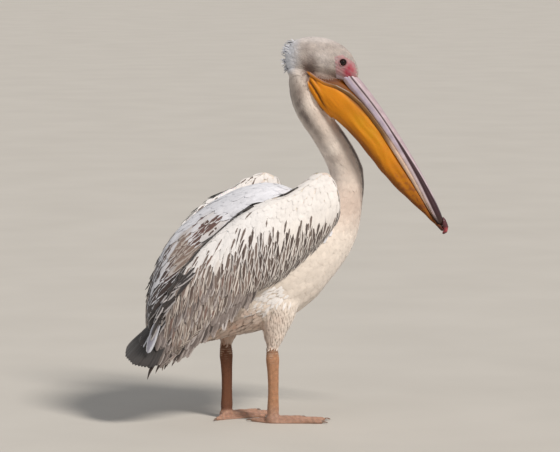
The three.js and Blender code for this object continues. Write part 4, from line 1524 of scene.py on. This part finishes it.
def tail_fan(hide):
    """Two lapped layers of broad dark quills, spread in a low roof."""
    rows = 10
    points = surface_points("tail", 6000)
    low, high = points.min(0), points.max(0)
    centre = points.mean(0)
    # the tail's own plane, with its root ahead of it and the quills' bearings measured from there
    flat = np.linalg.svd(points - centre, full_matrices=False)[2]
    rise = flat[2] * np.sign(flat[2][2])
    root = np.array((high[0], (low[1] + high[1]) / 2, high[2])) + np.array((30, 0, 30)) * MM
    axis = centre - root
    axis = unit(axis - rise * (axis @ rise))
    across = np.cross(rise, axis)
    out, forth, level = (points - root) @ across, (points - root) @ axis, (points - root) @ rise
    bearing = np.arctan2(out, forth)
    edge = np.percentile(bearing[forth > np.median(forth)], (0.5, 99.5))
    distance = np.hypot(out, forth)
    v = stations(rows)[None, :, None]
    for layer, (count, share, lift) in enumerate(((14, 1.0, 0.4 * MM), (10, 0.7, 2.6 * MM))):
        place = np.linspace(-1, 1, count)
        angle = edge.mean() + place * (edge[1] - edge[0]) / 2 * 0.94
        near = [np.abs(bearing - turn) < 0.035 for turn in angle]
        reach = np.array([np.percentile(distance[n], 99.5) for n in near]) * share + 4 * MM
        high_up = np.array([level[n][distance[n] > np.median(distance[n])].mean() for n in near])
        way = axis * np.cos(angle)[:, None] + across * np.sin(angle)[:, None]
        starts = root + way * 15 * MM
        ends = root + way * reach[:, None] + rise * high_up[:, None]
        path = starts[:, None] * (1 - v) + ends[:, None] * v + rise * (3 * MM * np.sin(np.pi * v))
        heart = blend(BLACK_BROWN, "#1d1816", chance.random(count) * 0.8)
        feathers(
            f"tail_quills_{layer + 1}", hide.at(starts), blunt, rows, length=1,
            width=vary(28 * MM, 0.05, count), lift=lift,
            rim=blend("#3a312d", TAN, ramp(np.abs(place), 0.9, 1.0) * 0.4), heart=heart, breadth=0.9,
            crown=0.08, tilt=7, section=FULL_SECTION, slot="tail_quills",
            path=(path, np.broadcast_to(rise, path.shape)),
        )


# ------------------------------------------------------------------------- bill, eyes and claws


def upper_bill():
    """The upper bill: a grooved roof of pale horn, with a lip that comes down over the lower bill."""
    piece = smooth_copy("upper_bill", "bill_upper", grain=1.3 * MM, rounds=5, swell=0.3 * MM)
    points = points_of(piece)
    share, below = along_bill(points)
    places = np.linspace(share.min(), share.max(), 21)
    deepest = np.array([below[np.abs(share - place) < 0.03].max() for place in places])
    depth = below / np.interp(share, places, deepest)
    groove_top = np.interp(share, (0, 0.4, 0.65, 0.9), (0.30, 0.31, 0.15, 0.06))
    groove_foot = np.interp(share, (0, 0.35, 0.5, 0.7, 1), (0.42, 0.45, 0.54, 0.62, 0.82))
    below_top = ramp(depth, groove_top - 0.04, groove_top + 0.04)
    in_groove = below_top * fade(depth, groove_foot - 0.05, groove_foot + 0.05)
    cut = in_groove * ramp(share, 0.0, 0.06)
    dip = np.radians(np.interp(share, (0, 1), BILL_DIP))[:, None]
    downwards = -AHEAD * np.sin(dip) - UP * np.cos(dip)
    lip = ramp(depth, 0.45, 1.0) * ramp(share, 0.0, 0.08) * fade(share, 0.75, 1.0) * 3.6 * MM
    move_points(piece, points + downwards * lip[:, None] - normals_of(piece) * (cut * 0.9 * MM)[:, None])
    tint = lay(
        LAVENDER * 1.18,
        ("#c4b6cf", bump(depth, 0.62, 0.2) * fade(share, 0.4, 0.6) * 0.75),
        ("#dcc4bc", ramp(depth, 0.6, 0.95) * span(share, 0.3, 0.5, 0.8, 0.92)),
        ("#b9a3a8", fade(depth, groove_top - 0.1, groove_top)),
        # painted shade in the groove, widening down the bill's shaded side towards the tip
        ("#34151b", in_groove),
        # painted shade on the bill's side near the tip
        ("#3a211c", ramp(share, 0.86, 0.94) * ramp(depth, groove_top, groove_top + 0.1)),
    )
    paint(piece, "tint", tint * (1 + 0.08 * mottle(points, 0.02, 21))[:, None])
    return piece


def lower_bill():
    """The two arms of the jaw, which behind lie almost flush in the pouch skin."""
    piece = smooth_copy("lower_bill", "bill_lower", grain=1.3 * MM, rounds=8, swell=-0.6 * MM)
    points = points_of(piece)
    share, _ = along_bill(points)
    ahead, side, _ = in_head(points)
    inwards = -np.sign(side) * fade(share, 0.25, 0.5) * 2.2 * MM
    points = points + ACROSS * inwards[:, None]
    move_points(piece, points)
    # painted shade on the faces that look up and ahead, under the upper bill's lip
    shaded_top = ramp(normals_of(piece) @ (UP * 0.6 + AHEAD * 0.8), -0.1, 0.5)
    tint = lay(
        ORANGE * 0.8,
        ("#6e3a10", shaded_top * 0.9),
        ("#6d4a1c", ramp(ahead, 40, 85) * 0.9),
        ("#c9ab95", span(share, 0.36, 0.5, 0.8, 0.9)),
        ("#3f241d", ramp(share, 0.84, 0.92)),
    )
    paint(piece, "tint", tint * (1 + 0.08 * mottle(points, 0.02, 22))[:, None])
    return piece


def bill_nail():
    """The hooked nail at the bill's tip, redder towards its point."""
    piece = smooth_copy("bill_nail", "nail_of_bill", grain=0.7 * MM, rounds=6, swell=0.1 * MM)
    points = points_of(piece)
    hook = bump(points[:, 2] - points[:, 2].min(), 10 * MM, 9 * MM)
    tint = blend("#56292e", "#b0454c", hook)
    paint(piece, "tint", tint * (1 + 0.1 * mottle(points, 0.006, 23))[:, None])
    return piece


def make_bill():
    bill = {"upper_bill": upper_bill(), "lower_bill": lower_bill(), "bill_nail": bill_nail()}
    for node, piece in bill.items():
        piece.data.materials.append(HORN)
        settle(piece, "nail_horn" if node == "bill_nail" else "bill_horn", node)


def make_eyes():
    for side, name in ((-1, "right"), (1, "left")):
        low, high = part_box(f"eye_{name}")
        radius = (high.z - low.z) / 2
        bpy.ops.mesh.primitive_uv_sphere_add(segments=40, ring_count=24, radius=radius, location=EYES[side])
        ball = bpy.context.object
        ball.name = f"eyeball_{name}"
        bpy.ops.object.transform_apply(location=True, rotation=True, scale=True)
        points = points_of(ball)
        outwards = ACROSS * side
        away = points - EYES[side]
        out = away @ outwards
        cornea = ramp(out / radius, 0.72, 0.95)
        move_points(ball, points + outwards * (cornea * 0.5 * MM)[:, None])
        # black pupil, brown iris, and a dark rim under the lid
        ring = np.linalg.norm(away - outwards * out[:, None], axis=1) / MM
        tint = lay("#0b0808", ("#28150f", ramp(ring, 3.2, 3.7)), ("#120b0a", ramp(ring, 5.4, 6.2)))
        paint(ball, "tint", tint)
        ball.data.materials.append(EYE)
        bpy.ops.object.shade_smooth()
        settle(ball, "eye", f"eye_{name}")


def make_claws():
    for side in ("right", "left"):
        for toe in ("outer", "middle", "inner", "hind"):
            node = f"claw_{toe}_{side}"
            claw = smooth_copy(node, f"nail_{toe}_{side}", grain=0.45 * MM, rounds=4, swell=0.1 * MM)
            paint(claw, "tint", np.tile(linear("#7d6455"), (len(claw.data.vertices), 1)))
            claw.data.materials.append(HORN)
            settle(claw, "claw_horn", node)


# ------------------------------------------------------------------------- building the bird

add_camera()
add_surroundings()
FEATHER = feather_material()
SKIN = skin_material()
HORN = horn_material()
EYE = eye_material()
WINGS = [Wing("wing_right", -1), Wing("wing_left", 1)]

skin, skin_shares = make_skin()
tint, scaly = skin_tint(points_of(skin), skin_shares)
paint(skin, "tint", tint)
grade(skin, "scaly", scaly)
skin.data.materials.append(SKIN)
settle(skin, "plumage", *FLESH)

make_bill()
make_eyes()
make_claws()

hide = Hide(skin, skin_shares)
for coat in (coat_head, coat_neck, coat_body, coat_flank, coat_thighs, coat_back):
    coat(hide)
for wing in WINGS:
    coat_wing(hide, wing)
    quill_rows(hide, wing)
    crease_row(hide, wing)
tail_fan(hide)
